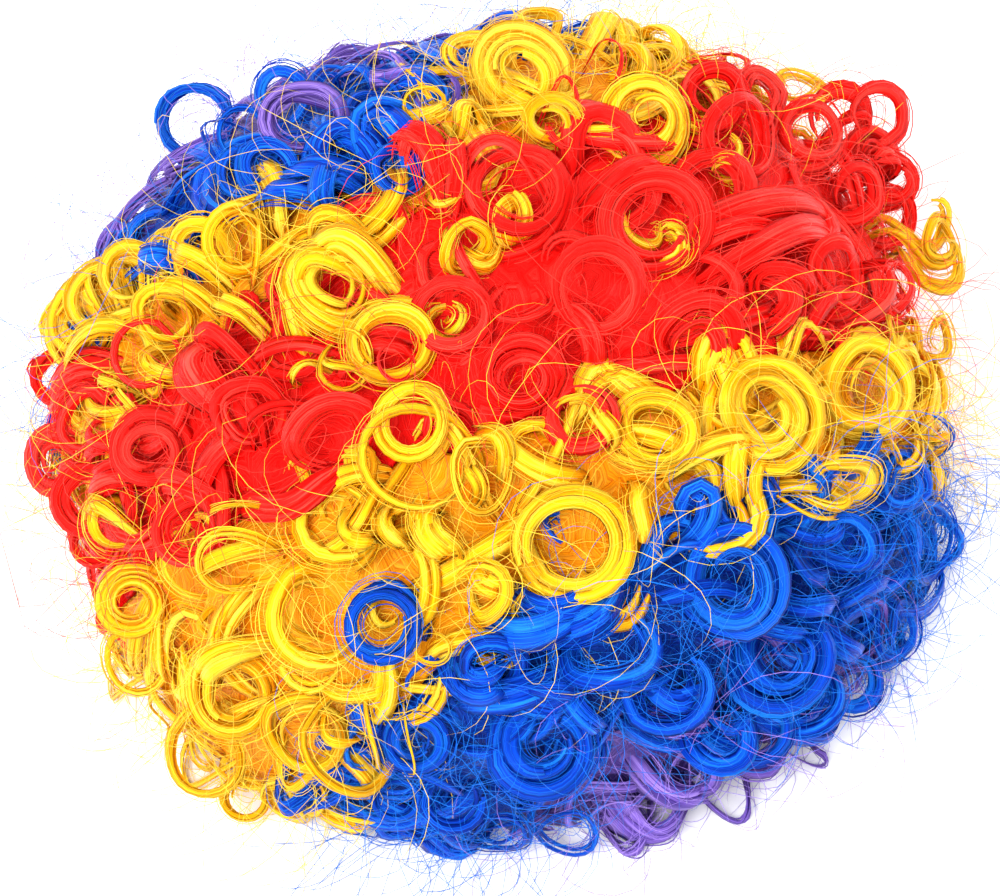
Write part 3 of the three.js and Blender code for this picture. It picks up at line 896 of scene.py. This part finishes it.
def packed_mesh(name, rows, middles, material):
    """Packed hair as a closed body: its bumpy outside, its inside against the cap, and the walls between."""
    lanes, steps = len(rows), len(rows[0])
    cap_dome = {"half_wide": 64.5, "half_long": 70.5, "high": 65.5}
    points = []
    places = []
    for row in rows:
        for point in row:
            moved, away = bumpy(point, middles)
            points.append(moved)
            # Painted shade: the packed hair takes a place near the root end of the material's map, so it is
            # painted dark as the shade between the locks.
            root_shade_along = 0.045 + 0.04 * noise.noise(moved / 9 + Vector((7, 3, 1)))
            places.append((0.25 + 0.02 * away + 0.1 * noise.noise(moved / 30), root_shade_along))
    inside = [p / max(share_of(cap_dome, p), 1.0) for p in points]
    count = lanes * steps
    faces = []

    def at(lane, step, layer=0):
        return layer * count + lane * steps + step

    for lane in range(lanes - 1):
        following = lane + 1
        for step in range(steps - 1):
            after = step + 1
            faces.append((at(lane, step), at(lane, after), at(following, after), at(following, step)))
            facing_in = ((lane, step), (following, step), (following, after), (lane, after))
            faces.append(tuple(at(*corner, 1) for corner in facing_in))
        for step, turned in ((0, False), (steps - 1, True)):
            wall = (at(lane, step), at(following, step), at(following, step, 1), at(lane, step, 1))
            faces.append(wall[::-1] if turned else wall)
    for step in range(steps - 1):
        for lane, turned in ((0, False), (lanes - 1, True)):
            wall = (at(lane, step), at(lane, step + 1), at(lane, step + 1, 1), at(lane, step, 1))
            faces.append(wall[::-1] if turned else wall)
    return closed_piece(name, points + inside, faces, places + places, material)


def outside_mesh(name, rows, middles):
    """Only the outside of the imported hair, for what grows from it."""
    steps = len(rows[0])
    faces = []
    for lane in range(len(rows) - 1):
        for step in range(steps - 1):
            corner = lane * steps + step
            faces.append((corner, corner + 1, corner + steps + 1, corner + steps))
    points = in_frame([bumpy(p, middles)[0] for row in rows for p in row])
    mesh = bpy.data.meshes.new(name)
    mesh.from_pydata([tuple(p) for p in points], [], faces)
    return mesh


def seen_curls(rows, guides, front, back, chance):
    """Guides for the curls of a table, placed where the view shows them."""
    centres = []
    for kind, right, up, radius, *turned in rows:
        yaw, pitch = turned or (0, 0)
        axis = Matrix.Rotation(math.radians(yaw), 3, UP) @ TOWARDS
        axis = Matrix.Rotation(-math.radians(pitch), 3, RIGHT) @ axis
        centre = seen_point(right, up)
        if kind == "tuft":
            centre -= outwards(centre) * TUFT_SUNK
        if kind == "hoop":
            centre += TOWARDS * HOOP_RAISED
        steps = 24 if radius > 11 else 20  # points in a turn, more on a large curl
        guides.add_curl(centre, axis, radius, KINDS[kind], front, back, chance, steps)
        centres.append((centre, radius))
    return centres


def far_curls(guides, front, back, chance):
    """Guides for the large curls at the back, those of them that lie in the stripe."""
    centres = []
    for height, count, first, last, kind, radius in FAR_ROWS:
        level = (1 - (height / LOCK_DOME["high"]) ** ROUNDNESS) ** (1 / ROUNDNESS)
        for i in range(count):
            angle = math.radians(first + (last - first) * i / (count - 1))
            across = LOCK_DOME["half_wide"] * level * math.cos(angle)
            centre = Vector((across, LOCK_DOME["half_long"] * level * math.sin(angle), height))
            if seam_at(front, across) <= centre.y < seam_at(back, across):
                guides.add_curl(centre, outwards(centre), radius, KINDS[kind], front, back, chance)
                centres.append((centre, radius))
    return centres


def foot_curls(guides, front, back, chance):
    """Guides for the small curls along the foot, those of them that lie in the stripe."""
    for i in range(FOOT_CURLS):
        angle = 2 * math.pi * (i + chance.uniform(-0.3, 0.3)) / FOOT_CURLS
        heading = Vector((math.cos(angle), math.sin(angle), 0))
        centre = heading / share_of(PACKED, heading)
        if not seam_at(front, centre.x) <= centre.y < seam_at(back, centre.x):
            continue
        radius = chance.uniform(5.5, 8.5)
        normal = outwards(centre)
        lean = Vector([chance.uniform(-0.35, 0.35) for _ in range(3)])
        kind = {**FOOT_KIND, "turns": chance.uniform(0.7, 1.2), "inner": chance.uniform(0.7, 0.95)}
        axis = (normal + lean).normalized()
        guides.add_curl(centre + normal, axis, radius, kind, front, back, chance, SMALL_STEPS)


def shows_in(point, box):
    """Whether the view shows a point in a box: its left, right, lower and upper edge."""
    if box is None:
        return False
    offset = point - VIEW_AIM
    scale = VIEW_DISTANCE / (VIEW_DISTANCE - offset.dot(TOWARDS))
    return box[0] < offset.dot(RIGHT) * scale < box[1] and box[2] < offset.dot(UP) * scale < box[3]


def filling_curls(rows, guides, front, back, count, chance, taken, bare):
    """Guides for the smaller curls between and under the others, spread evenly over the stripe.

    Those that the view hides lean less, lie higher and are smaller.
    """
    kept_clear = 0.3  # of the radius of a curl that is there
    tries = 14
    choices = [p for row in rows[1:-1] for p in row[1:-1] if not shows_in(p, bare)]
    chosen = []

    def room(point):
        near = [(point - c).length for c in chosen]
        near += [(point - c).length - r * kept_clear for c, r in taken]
        return min(near) if near else math.inf

    while len(chosen) < count:
        tried = [chance.choice(choices) for _ in range(tries)]
        chosen.append(max(tried, key=room))
    widest = min(13.0, 2.0 + len(rows))  # a stripe with few rows is narrow
    for point in chosen:
        normal = outwards(point)
        hidden = normal.dot(TOWARDS) < 0.3
        spread = 0.25 if hidden else 0.5
        lean = Vector([chance.uniform(-spread, spread) for _ in range(3)])
        axis = (normal + lean).normalized()
        radius = chance.uniform(6.5, widest)
        kind = {**FILLING_KIND, "turns": chance.uniform(0.4, 1.1), "inner": chance.uniform(0.7, 1.0)}
        sunk = chance.uniform(-1.5, 1) if hidden else chance.uniform(0, 3)
        radius *= 0.85 if hidden else 1
        guides.add_curl(point - normal * sunk, axis, radius, kind, front, back, chance, SMALL_STEPS)


def filling_swirls(rows, guides, front, back, count, chance, bare):
    """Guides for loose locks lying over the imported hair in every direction."""
    inner = rows[1:-1]
    for _ in range(count):
        point = chance.choice(chance.choice(inner)[2:-2]).copy()
        heading = Vector((chance.uniform(-1, 1), chance.uniform(-0.7, 0.7), chance.uniform(-0.7, 0.7)))
        length = chance.uniform(20, 42)
        bend = chance.choice((-1, 1)) * chance.uniform(0.03, 0.26)
        sway = chance.uniform(-0.16, 0.16)
        half_width = chance.uniform(1.6, 4.6)
        if shows_in(point, bare):
            continue
        guides.add_swirl(point, heading, length, bend, sway, half_width, chance.uniform(-1, 4), front, back)


# What a lock is made of: flat ribbons of fibre, thin fibres round them, and single fibres that stand off.
# A strand's map starts at its root, where the hair material paints painted shade; single fibres start at 0.84,
# where it paints them lighter as a painted highlight.
RIBBON = {
    "Count": 1.2, "Width Share": 0.5, "Flatness": 0.35, "Roll": 0.25, "Sides": 4, "Outer": 0.65, "Twist": 0.4,
    "Lean": 0.05, "Loose": 0.14, "Wander": 0.0012, "Window": 0.05,
}
FIBRE = {
    "Half Width": 0.00017, "Inner": 0.8, "Outer": 1.08, "Twist": 1.5, "Lean": 0.04, "Loose": 0.12,
    "Wander": 0.0014, "Window": 0.006, "First": 0.03, "Last": 0.8,
}
SINGLE = {
    "Half Width": 0.00009, "Inner": 1.0, "Outer": 1.7, "Twist": 3.0, "Lean": 0.14, "Loose": 0.5,
    "Wander": 0.003, "Window": 0.003, "First": 0.84, "Last": 0.99,
}
# How many of each there are for a metre of a lock's half width, in the locks on top and in those under them.
TOP_COUNTS = (1000.0, 1700.0, 1100.0)
UNDER_COUNTS = (800.0, 700.0, 500.0)
ROW_STEPS = 120


def hair_stripe(name, front, back, curls, bows, material, lanes, filling, loose, frizz, seed, bare=None):
    """All the hair of a stripe as one object: packed hair, locks of flat strands, fine fibres and frizz.

    Lanes are the rows of its packed hair, filling and loose its smaller locks, frizz its stray fibres a
    square metre. No smaller locks lie where the view shows the box called bare: another stripe covers it.
    """
    chance = random.Random(seed)
    rows = outer_rows(front, back, lanes, ROW_STEPS)
    middles = packed_swirls(rows, chance)
    parts = [packed_mesh(name + "_packed", rows, middles, material)]
    top = Guides()
    taken = seen_curls(curls, top, front, back, chance) + far_curls(top, front, back, chance)
    for start_right, start_up, top_right, top_up, end_right, end_up, half_width, lift in bows:
        top.add_bow((start_right, start_up), (top_right, top_up), (end_right, end_up), half_width, lift)
    under = Guides()
    filling_curls(rows, under, front, back, filling, chance, taken, bare)
    foot_curls(under, front, back, chance)
    filling_swirls(rows, under, front, back, loose, chance, bare)
    for label, guides, counts in (("locks", top, TOP_COUNTS), ("under", under, UNDER_COUNTS)):
        for order, (strands, count) in enumerate(zip((RIBBON, FIBRE, SINGLE), counts)):
            part = "_".join((name, label, str(order)))
            own_seed = seed + 100 * order + len(label)
            values = {**strands, "Material": material, "Count For Band": count, "Seed": own_seed}
            parts.append(grown_mesh(part, guides.mesh(part + "_guides"), LOCK_TREE, values))
    outside = outside_mesh(name + "_outside", rows, middles)
    values = {"Material": material, "Seed": seed + 1200, "Density": frizz}
    parts.append(grown_mesh(name + "_frizz", outside, FRIZZ_TREE, values))
    pieces = []
    for part in parts:
        piece = bpy.data.objects.new(part.name, part)
        bpy.context.scene.collection.objects.link(piece)
        pieces.append(piece)
    with bpy.context.temp_override(active_object=pieces[0], selected_editable_objects=pieces):
        bpy.ops.object.join()
    whole = pieces[0]
    whole.name = name + "_curls"
    whole.data.name = whole.name
    return whole


RED_HAIR = hair_material(
    "red_hair", shade=(0.52, 0.001, 0.001), deep=(0.86, 0.004, 0.003),
    middle=(0.96, 0.012, 0.009), light=(1.0, 0.07, 0.05),
)
red_crown = hair_stripe(
    "red_crown", RED_FRONT, RED_BACK, RED_CURLS, RED_BOWS, RED_HAIR,
    lanes=28, filling=26, loose=40, frizz=31000, seed=11,
)
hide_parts("hair_red_crown")
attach(red_crown, "root")


# Yellow hair in front of the crown
# The same fibre in a warm yellow with orange streaks, painted dark orange towards its roots as painted shade,
# set into ringlets like the red.
# Sewn along the crown's front edge, it falls forwards and to the left over the blue.
YELLOW_FRONT = (-72, 0.2, 0.0007)
YELLOW_FRONT_CURLS = [
    ("ring", -22, 6, 10.5),
    ("ring", 18, -23, 15.5),
    ("roll", 38, 4, 11.5),
    ("rosette", 66, 8, 17.5),
    ("rosette", 91, 16, 16, 25, 0),
    ("curl", -46, -43, 15, 40, 0),
    ("loop", -66, -29, 12, 0, -50),
    ("curl", -97, -19, 9, 20, 0),
    ("rosette", -92, -38, 10),
    ("loop", -91, -53, 10),
    ("loop", -74, -75, 12, -20, 0),
    ("rosette", -67, -60, 14),
    ("ring", -49, -72, 12, 0, -20),
    ("loop", -19, -3, 15),
    ("loop", -4, -7, 10, 30, 0),
    ("curl", 85, -8, 11, 0, -40),
    ("arch", 36, -17, 7, 80, 0),
    ("loop", -37, -74, 14, 40, 0),
    ("curl", -5, -35, 10, -40, 0),
    ("loop", -17, -50, 5),
    ("ring", -64, -87, 7),
    ("tuft", -29, -43, 6, 40, 20),
]
YELLOW_FRONT_BOWS = [
    (-107.5, -16.5, -98, -13, -93.5, -31, 2.7, 5),
    (-80.5, -34.3, -70, -27.8, -51, -26, 2.2, 5),
    (-76.8, -15, -67, -14.5, -57.5, -20, 0.9, 6),
    (-44, -25, -54, -39, -44.8, -56.5, 2.3, 5),
    (-41, -15, -35, -23, -31, -28, 2.7, 5),
    (-27.8, -14.5, -27, -22, -27.5, -29.3, 2.6, 5),
    (-16.8, -14, -15.8, -22.5, -14.3, -31.5, 5, 7),
    (-79, -63, -70, -52, -57.5, -56.5, 3.7, 6),
    (-79, -68.8, -67, -67, -54.5, -68, 2.5, 4),
    (-80, -70.5, -76, -84, -62, -82, 1.4, 3),
    (-59.5, -72.5, -51, -83.5, -39.8, -75.5, 1.5, 4),
    (-48, -65.5, -39.8, -71, -36, -77, 1.8, 5),
    (-39.8, -59.8, -30, -72.5, -37, -87.8, 1.2, 5),
    (-29.5, -64, -20.8, -75.5, -32, -87, 0.6, 6),
    (-99, -46, -94, -62.5, -84.5, -56.5, 1.1, 4),
    (-7.5, -3, -5.5, -8, -9.5, -17.8, 1.8, 4),
    (-9.5, 2.8, 0.8, 2, -0.8, -14, 2.3, 5),
    (-4.5, -28.8, -2, -33.8, -0.8, -40, 3, 4),
    (28, 13.3, 26.5, 5.3, 29.3, -3, 2.3, 5),
    (72, -7.5, 78, -17.5, 93, -17, 1, 5),
    (77.8, -7.5, 84, -14, 91, -8.8, 1.4, 5),
    (99, -0.3, 102.8, -2.5, 109, 0.3, 1.8, 3),
    (107, 7, 110, 3, 108, -1, 1.8, 3),
]
YELLOW_HAIR = hair_material(
    "yellow_hair", shade=(0.55, 0.085, 0.0), deep=(0.92, 0.29, 0.0),
    middle=(0.98, 0.52, 0.004), light=(1.0, 0.76, 0.075),
)
yellow_front = hair_stripe(
    "yellow_front", YELLOW_FRONT, RED_FRONT, YELLOW_FRONT_CURLS, YELLOW_FRONT_BOWS, YELLOW_HAIR,
    lanes=18, filling=30, loose=60, frizz=64000, seed=23,
)
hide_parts("hair_yellow_front")
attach(yellow_front, "root")


# Yellow hair behind the crown
# The stripe that mirrors the one in front, of the same yellow fibre, sewn along the crown's back edge.
# It falls to the left over the red and stands up along the top.
YELLOW_BACK = (62, 0.3, 0)
YELLOW_BACK_CURLS = [
    ("ring", -65, 52, 10, 40, 0),
    ("rosette", -40, 41, 15, 20, 20),
    ("ring", -28, 27, 12.3),
    ("ring", -83, 33, 9, 0, -30),
    ("rosette", -104, 33, 12, -30, 0),
    ("rosette", 4, 94, 15),
    ("rosette", 36, 82, 14),
    ("rosette", 110, 52, 9.5, 40, 0),
    ("ring", 109, 27, 8, 50, 0),
    ("curl", -75, 49, 11, -30, 0),
    ("loop", -39, 22, 8),
    ("curl", -100, 37, 11, -20, 0),
    ("curl", -107, 28, 10, -30, 0),
    ("curl", -92, 43, 10, -10, 0),
    ("tuft", 38, 58, 8, 40, 0),
    ("tuft", 43, 53, 8, -30, 40),
    ("tuft", 41, 56, 7, 0, -50),
    ("tuft", 58, 77, 8, 30, 20),
    ("tuft", 61, 71, 7, -40, 0),
    ("tuft", 57, 72, 7, 0, -40),
    ("tuft", -14, 32, 7, 30, -30),
    ("tuft", -13, 35, 6, -40, 20),
    ("tuft", -86, 23, 8, 20, 30),
    ("tuft", -90, 19, 7, -40, 0),
    ("ring", -46, 52, 9, 0, 50),
    ("curl", -8, 50, 8.5, 20, -40),
    ("tuft", -6, 53, 9, 30, 30),
    ("tuft", 2, 62, 9, -30, 20),
    ("tuft", 5, 58, 8, 40, -30),
    ("rosette", 13, 82, 9),
    ("ring", 39, 98, 7, 0, 40),
    ("ring", 75, 90, 8, 0, 45),
    ("loop", -19, 85, 6),
    ("curl", -5, 98, 10, 0, 30),
    ("curl", 9, 106, 9, 0, 40),
    ("curl", 107, 56, 9, 30, 0),
    ("curl", 110, 46, 9, 40, 0),
]
YELLOW_BACK_BOWS = [
    (-90, 17, -88, 22, -88, 28, 2.4, 1),
    (-79.3, 55.8, -77.5, 46.5, -72, 39.5, 2.5, 5),
    (-71.8, 41.3, -67, 34.5, -63.5, 26.5, 2.3, 5),
    (-53.8, 18.3, -48.8, 45.8, -27, 40.8, 4, 7),
    (-56.3, 17.5, -50, 19.5, -43.5, 18.5, 1.3, 3),
    (-44.8, 27, -41, 19, -30.8, 17, 1.3, 4),
    (17, 101.5, 25.8, 106.5, 34.8, 100.5, 4.5, 3),
    (38.3, 105, 41, 103, 44.5, 98, 3, 3),
    (36, 101, 35, 97, 32.8, 91, 3.5, 4),
    (-15.8, 78.5, -9.3, 83, -3.5, 83, 2.5, 4),
    (-113.8, 24, -103.8, 25.8, -94.5, 28.3, 3, 4),
    (-113.8, 24.5, -111, 32, -102.5, 37, 3.2, 4),
    (-104, 30, -101, 40, -98.5, 46, 3.5, 4),
    (-98.8, 23, -98, 17, -97, 11.5, 2, 3),
    (-89.5, 35.8, -81, 40, -74.5, 32, 2.6, 5),
    (-18.3, 102, -23.3, 91.5, -14.5, 83.5, 0.9, 4),
    (-54.5, 50.8, -43.5, 57.3, -32.3, 51.3, 2.5, 5),
    (-55.8, 37, -39.5, 50.8, -26, 37, 4.5, 6),
]
yellow_back = hair_stripe(
    "yellow_back", RED_BACK, YELLOW_BACK, YELLOW_BACK_CURLS, YELLOW_BACK_BOWS, YELLOW_HAIR,
    lanes=18, filling=26, loose=50, frizz=58000, seed=37, bare=(-62, -15, 62, 100),
)
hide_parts("hair_yellow_back")
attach(yellow_back, "root")


# Blue hair at the front
# The same fibre in a strong blue, with the frizziest ends of the wig.
# Sewn in front of the yellow, it hangs down to the right in wide, loose curls.
BLUE_FRONT = (-96, 0.17, 0)
BLUE_FRONT_CURLS = [
    ("roll", -29, -44, 11),
    ("rosette", 57, -32, 16),
    ("rosette", 11, -74, 15),
    ("rosette", 71, -52, 15.5, 0, 20),
    ("loop", -1, -97, 10, 0, -50),
    ("loop", 16, -98, 9.5, 0, -40),
    ("loop", 108, -22, 13, 60, 0),
    ("ring", 100, -45, 9.5, 45, 0),
    ("rosette", 101, -8, 9, 30, 0),
    ("curl", 27, -50, 13, 0, 40),
    ("rosette", -20, -73, 11),
    ("curl", -2, -56, 11, 0, -30),
    ("curl", 85, -24, 11, 0, -30),
    ("curl", 42, -60, 13),
    ("ring", -26, -88, 7),
    ("curl", 65, -69, 11),
    ("curl", 88, -58, 10, 10, 0),
    ("ring", 78, -67, 8, 0, -20),
    ("curl", -12, -88, 9),
    ("tuft", 15, -20, 7, 30, 20),
    ("curl", 76, -62, 12, 0, 20),
    ("curl", 55, -70, 12, 0, 30),
]
BLUE_FRONT_BOWS = [
    (36, -57, 45, -62, 54, -58, 4, 3),
    (38, -67, 47, -61, 56, -67, 4, 3),
    (-8, -48, 10, -45, 30, -36, 5, 4),
    (-2, -40, 15, -42, 36, -31, 4.5, 3),
    (60, -60, 72, -68, 86, -62, 4.5, 4),
    (44, -70, 58, -75, 70, -71, 4.5, 4),
    (70, -60, 78, -70, 88, -66, 4, 4),
    (34.8, -37.5, 21.5, -43, 6.3, -51.5, 5, 4),
    (0.3, -65.5, 14, -58.5, 22, -70, 2.6, 5),
    (15, -59, 22, -66, 21.5, -76.5, 2.4, 5),
    (-12.8, -54, -4, -57, 4, -58.8, 5, 4),
    (14.8, -76.3, 11.8, -83.5, 4, -85.5, 1.8, 4),
    (-17.3, -90.8, -10, -99, 0.3, -102, 2.2, 1),
    (55, -66, 59, -67.8, 63.5, -67, 3, 4),
    (112.3, -9.8, 115, -24, 107.3, -37.3, 2.8, 2),
    (112, -28.8, 107, -37.3, 97.8, -37.8, 3.2, 3),
    (109.5, 14.3, 111.3, 3, 112.3, -8, 0.9, 3),
    (104, -44.5, 99.5, -51.8, 92.3, -55, 2.8, 2),
    (68.8, -40, 77.8, -37.8, 85, -47.3, 3.4, 5),
    (82, -42, 86, -50, 83.8, -58.3, 3.2, 4),
    (59.8, -43.8, 73, -44.5, 74.5, -54, 3, 4),
    (75.5, -18.8, 82.3, -21.5, 90.5, -17.5, 2.2, 4),
    (-58.8, -84, -52, -89, -45, -90, 2.5, 3),
]
BLUE_HAIR = hair_material(
    "blue_hair", shade=(0.002, 0.005, 0.07), deep=(0.003, 0.016, 0.25),
    middle=(0.003, 0.058, 0.58), light=(0.012, 0.21, 0.82),
)
blue_front = hair_stripe(
    "blue_front", BLUE_FRONT, YELLOW_FRONT, BLUE_FRONT_CURLS, BLUE_FRONT_BOWS, BLUE_HAIR,
    lanes=14, filling=26, loose=44, frizz=104000, seed=41,
)
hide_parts("hair_blue_front")
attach(blue_front, "root")


# Blue hair at the back
# Blue fibre again, sewn behind the yellow to mirror the blue at the front.
# Only its end at the left shows in the photograph, where it hangs over the yellow.
BLUE_BACK = (87, 0.36, 0)
BLUE_BACK_CURLS = [
    ("hoop", -75.3, 81.3, 11),
    ("curl", -32, 87, 9, 0, 30),
    ("loop", -65, 79, 7),
    ("ring", -64, 69, 7),
    ("arch", -43, 65, 6, 80, 15),
    ("arch", -85, 48, 6, 0, 80),
    ("rosette", -39, 74, 11),
    ("curl", -27, 79, 11, 20, 0),
    ("rosette", -57, 70, 10),
    ("curl", -50, 74, 11, 0, 30),
    ("curl", -24, 70, 9, 30, 0),
    ("curl", -20, 89, 8, 0, 30),
    ("curl", -55, 89, 9, -20, 20),
    ("tuft", -57, 70, 8, 20, 20),
]
BLUE_BACK_BOWS = [
    (-42, 94, -37, 93, -32, 90.8, 2, 3),
    (-51, 61, -43, 66, -34, 66, 2.6, 3),
    (-85, 51, -84.5, 46, -84, 41, 3.5, 3),
    (-75, 68, -73, 78, -62, 84, 0.9, 4),
    (-68, 67, -54, 63, -38, 66, 4.5, 3),
    (-60, 74, -46, 69, -31, 71, 5, 3),
    (-34, 88, -27, 80, -22, 68, 5, 3),
    (-44, 82, -36, 77, -30, 68, 4.5, 3),
    (-30, 92, -22, 91, -14, 88, 4, 3),
]
blue_back = hair_stripe(
    "blue_back", YELLOW_BACK, BLUE_BACK, BLUE_BACK_CURLS, BLUE_BACK_BOWS, BLUE_HAIR,
    lanes=12, filling=32, loose=36, frizz=45000, seed=53,
)
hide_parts("hair_blue_back")
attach(blue_back, "root")


# Purple hair at the front
# The same fibre in a pale purple, sewn on as the last short row at the cap's front edge.
# Most of it lies under the blue, and a few locks show at the lower right.
PURPLE_FRONT = (-104.3, 0.17, 0)
PURPLE_FRONT_CURLS = [
    ("curl", 64, -76, 9),
    ("curl", 48, -82, 9, 0, -20),
]
PURPLE_FRONT_BOWS = [
    (24.8, -92, 38, -95, 53, -91.5, 6.5, 4),
    (25.5, -97, 32, -101.5, 46, -97, 3, 2),
    (33, -84, 46, -86, 60, -83, 4.5, 3),
    (50, -91.5, 60, -92.5, 67.5, -85.5, 1.8, 3),
    (67.5, -87, 65, -79.5, 55, -82, 1.6, 3),
    (58, -78, 66, -75.5, 77, -70, 4, 3),
    (80, -68, 80.5, -78, 72, -80.5, 1.1, 3),
]
PURPLE_HAIR = hair_material(
    "purple_hair", shade=(0.02, 0.010, 0.09), deep=(0.05, 0.025, 0.20),
    middle=(0.17, 0.09, 0.47), light=(0.42, 0.27, 0.83),
)
purple_front = hair_stripe(
    "purple_front", PURPLE_FRONT, BLUE_FRONT, PURPLE_FRONT_CURLS, PURPLE_FRONT_BOWS, PURPLE_HAIR,
    lanes=8, filling=4, loose=6, frizz=50000, seed=67,
)
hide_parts("hair_purple_front")
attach(purple_front, "root")


# Purple hair at the back
# Purple fibre again, sewn on as the last row at the cap's back edge, wider than the one at the front.
# One large ring of it shows at the top left, on the blue.
PURPLE_BACK = (111.8, 0.36, 0)
PURPLE_BACK_CURLS = [
    ("hoop", -48.8, 82.8, 11.5),
    ("arch", -27, 93, 6, 0, 80),
    ("curl", -16, 88, 8, 0, 30),
]
PURPLE_BACK_BOWS = [
    (-28.3, 102, -27.5, 97, -26.8, 91.5, 2, 3),
]
purple_back = hair_stripe(
    "purple_back", BLUE_BACK, PURPLE_BACK, PURPLE_BACK_CURLS, PURPLE_BACK_BOWS, PURPLE_HAIR,
    lanes=14, filling=26, loose=26, frizz=35000, seed=79,
)
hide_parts("hair_purple_back")
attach(purple_back, "root")


# Floor, light and camera
# A white studio table under large soft lights, seen from above and in front as in the photograph.
floor_mesh = bpy.data.meshes.new("floor")
floor_mesh.from_pydata([(-4, -4, 0), (4, -4, 0), (4, 4, 0), (-4, 4, 0)], [], [(0, 1, 2, 3)])
floor_material, _, floor_shader = new_material("floor_white")
floor_shader.inputs["Base Color"].default_value = (0.93, 0.93, 0.93, 1)
floor_shader.inputs["Roughness"].default_value = 0.9
floor_mesh.materials.append(floor_material)
floor = bpy.data.objects.new("floor", floor_mesh)
bpy.context.scene.collection.objects.link(floor)

world = bpy.data.worlds.new("studio")
world.use_nodes = True
world.node_tree.nodes["Background"].inputs["Color"].default_value = (1, 1, 1, 1)
world.node_tree.nodes["Background"].inputs["Strength"].default_value = 1.0
bpy.context.scene.world = world
bpy.context.scene.view_settings.view_transform = "Standard"


def soft_light(name, place, target, size, power):
    """A square soft box, turned to what it lights."""
    lamp = bpy.data.lights.new(name, "AREA")
    lamp.shape = "SQUARE"
    lamp.size = size
    lamp.energy = power
    box = bpy.data.objects.new(name, lamp)
    box.location = place
    box.rotation_euler = (Vector(target) - Vector(place)).to_track_quat("-Z", "Y").to_euler()
    bpy.context.scene.collection.objects.link(box)


soft_light("key", (-0.55, -0.35, 0.95), (0, 0, 0.05), 0.8, 17)
soft_light("fill", (0.7, 0.3, 0.8), (0, 0, 0.05), 0.5, 6)

lens = bpy.data.cameras.new("camera")
lens.sensor_width = 36
lens.lens = 129.6
lens.clip_start = 0.05
camera = bpy.data.objects.new("camera", lens)
aim = Vector(in_frame([VIEW_AIM])[0])
camera.location = aim + TOWARDS * VIEW_DISTANCE * MILLIMETRE
camera.rotation_euler = TOWARDS.to_track_quat("Z", "Y").to_euler()
bpy.context.scene.collection.objects.link(camera)
bpy.context.scene.camera = camera
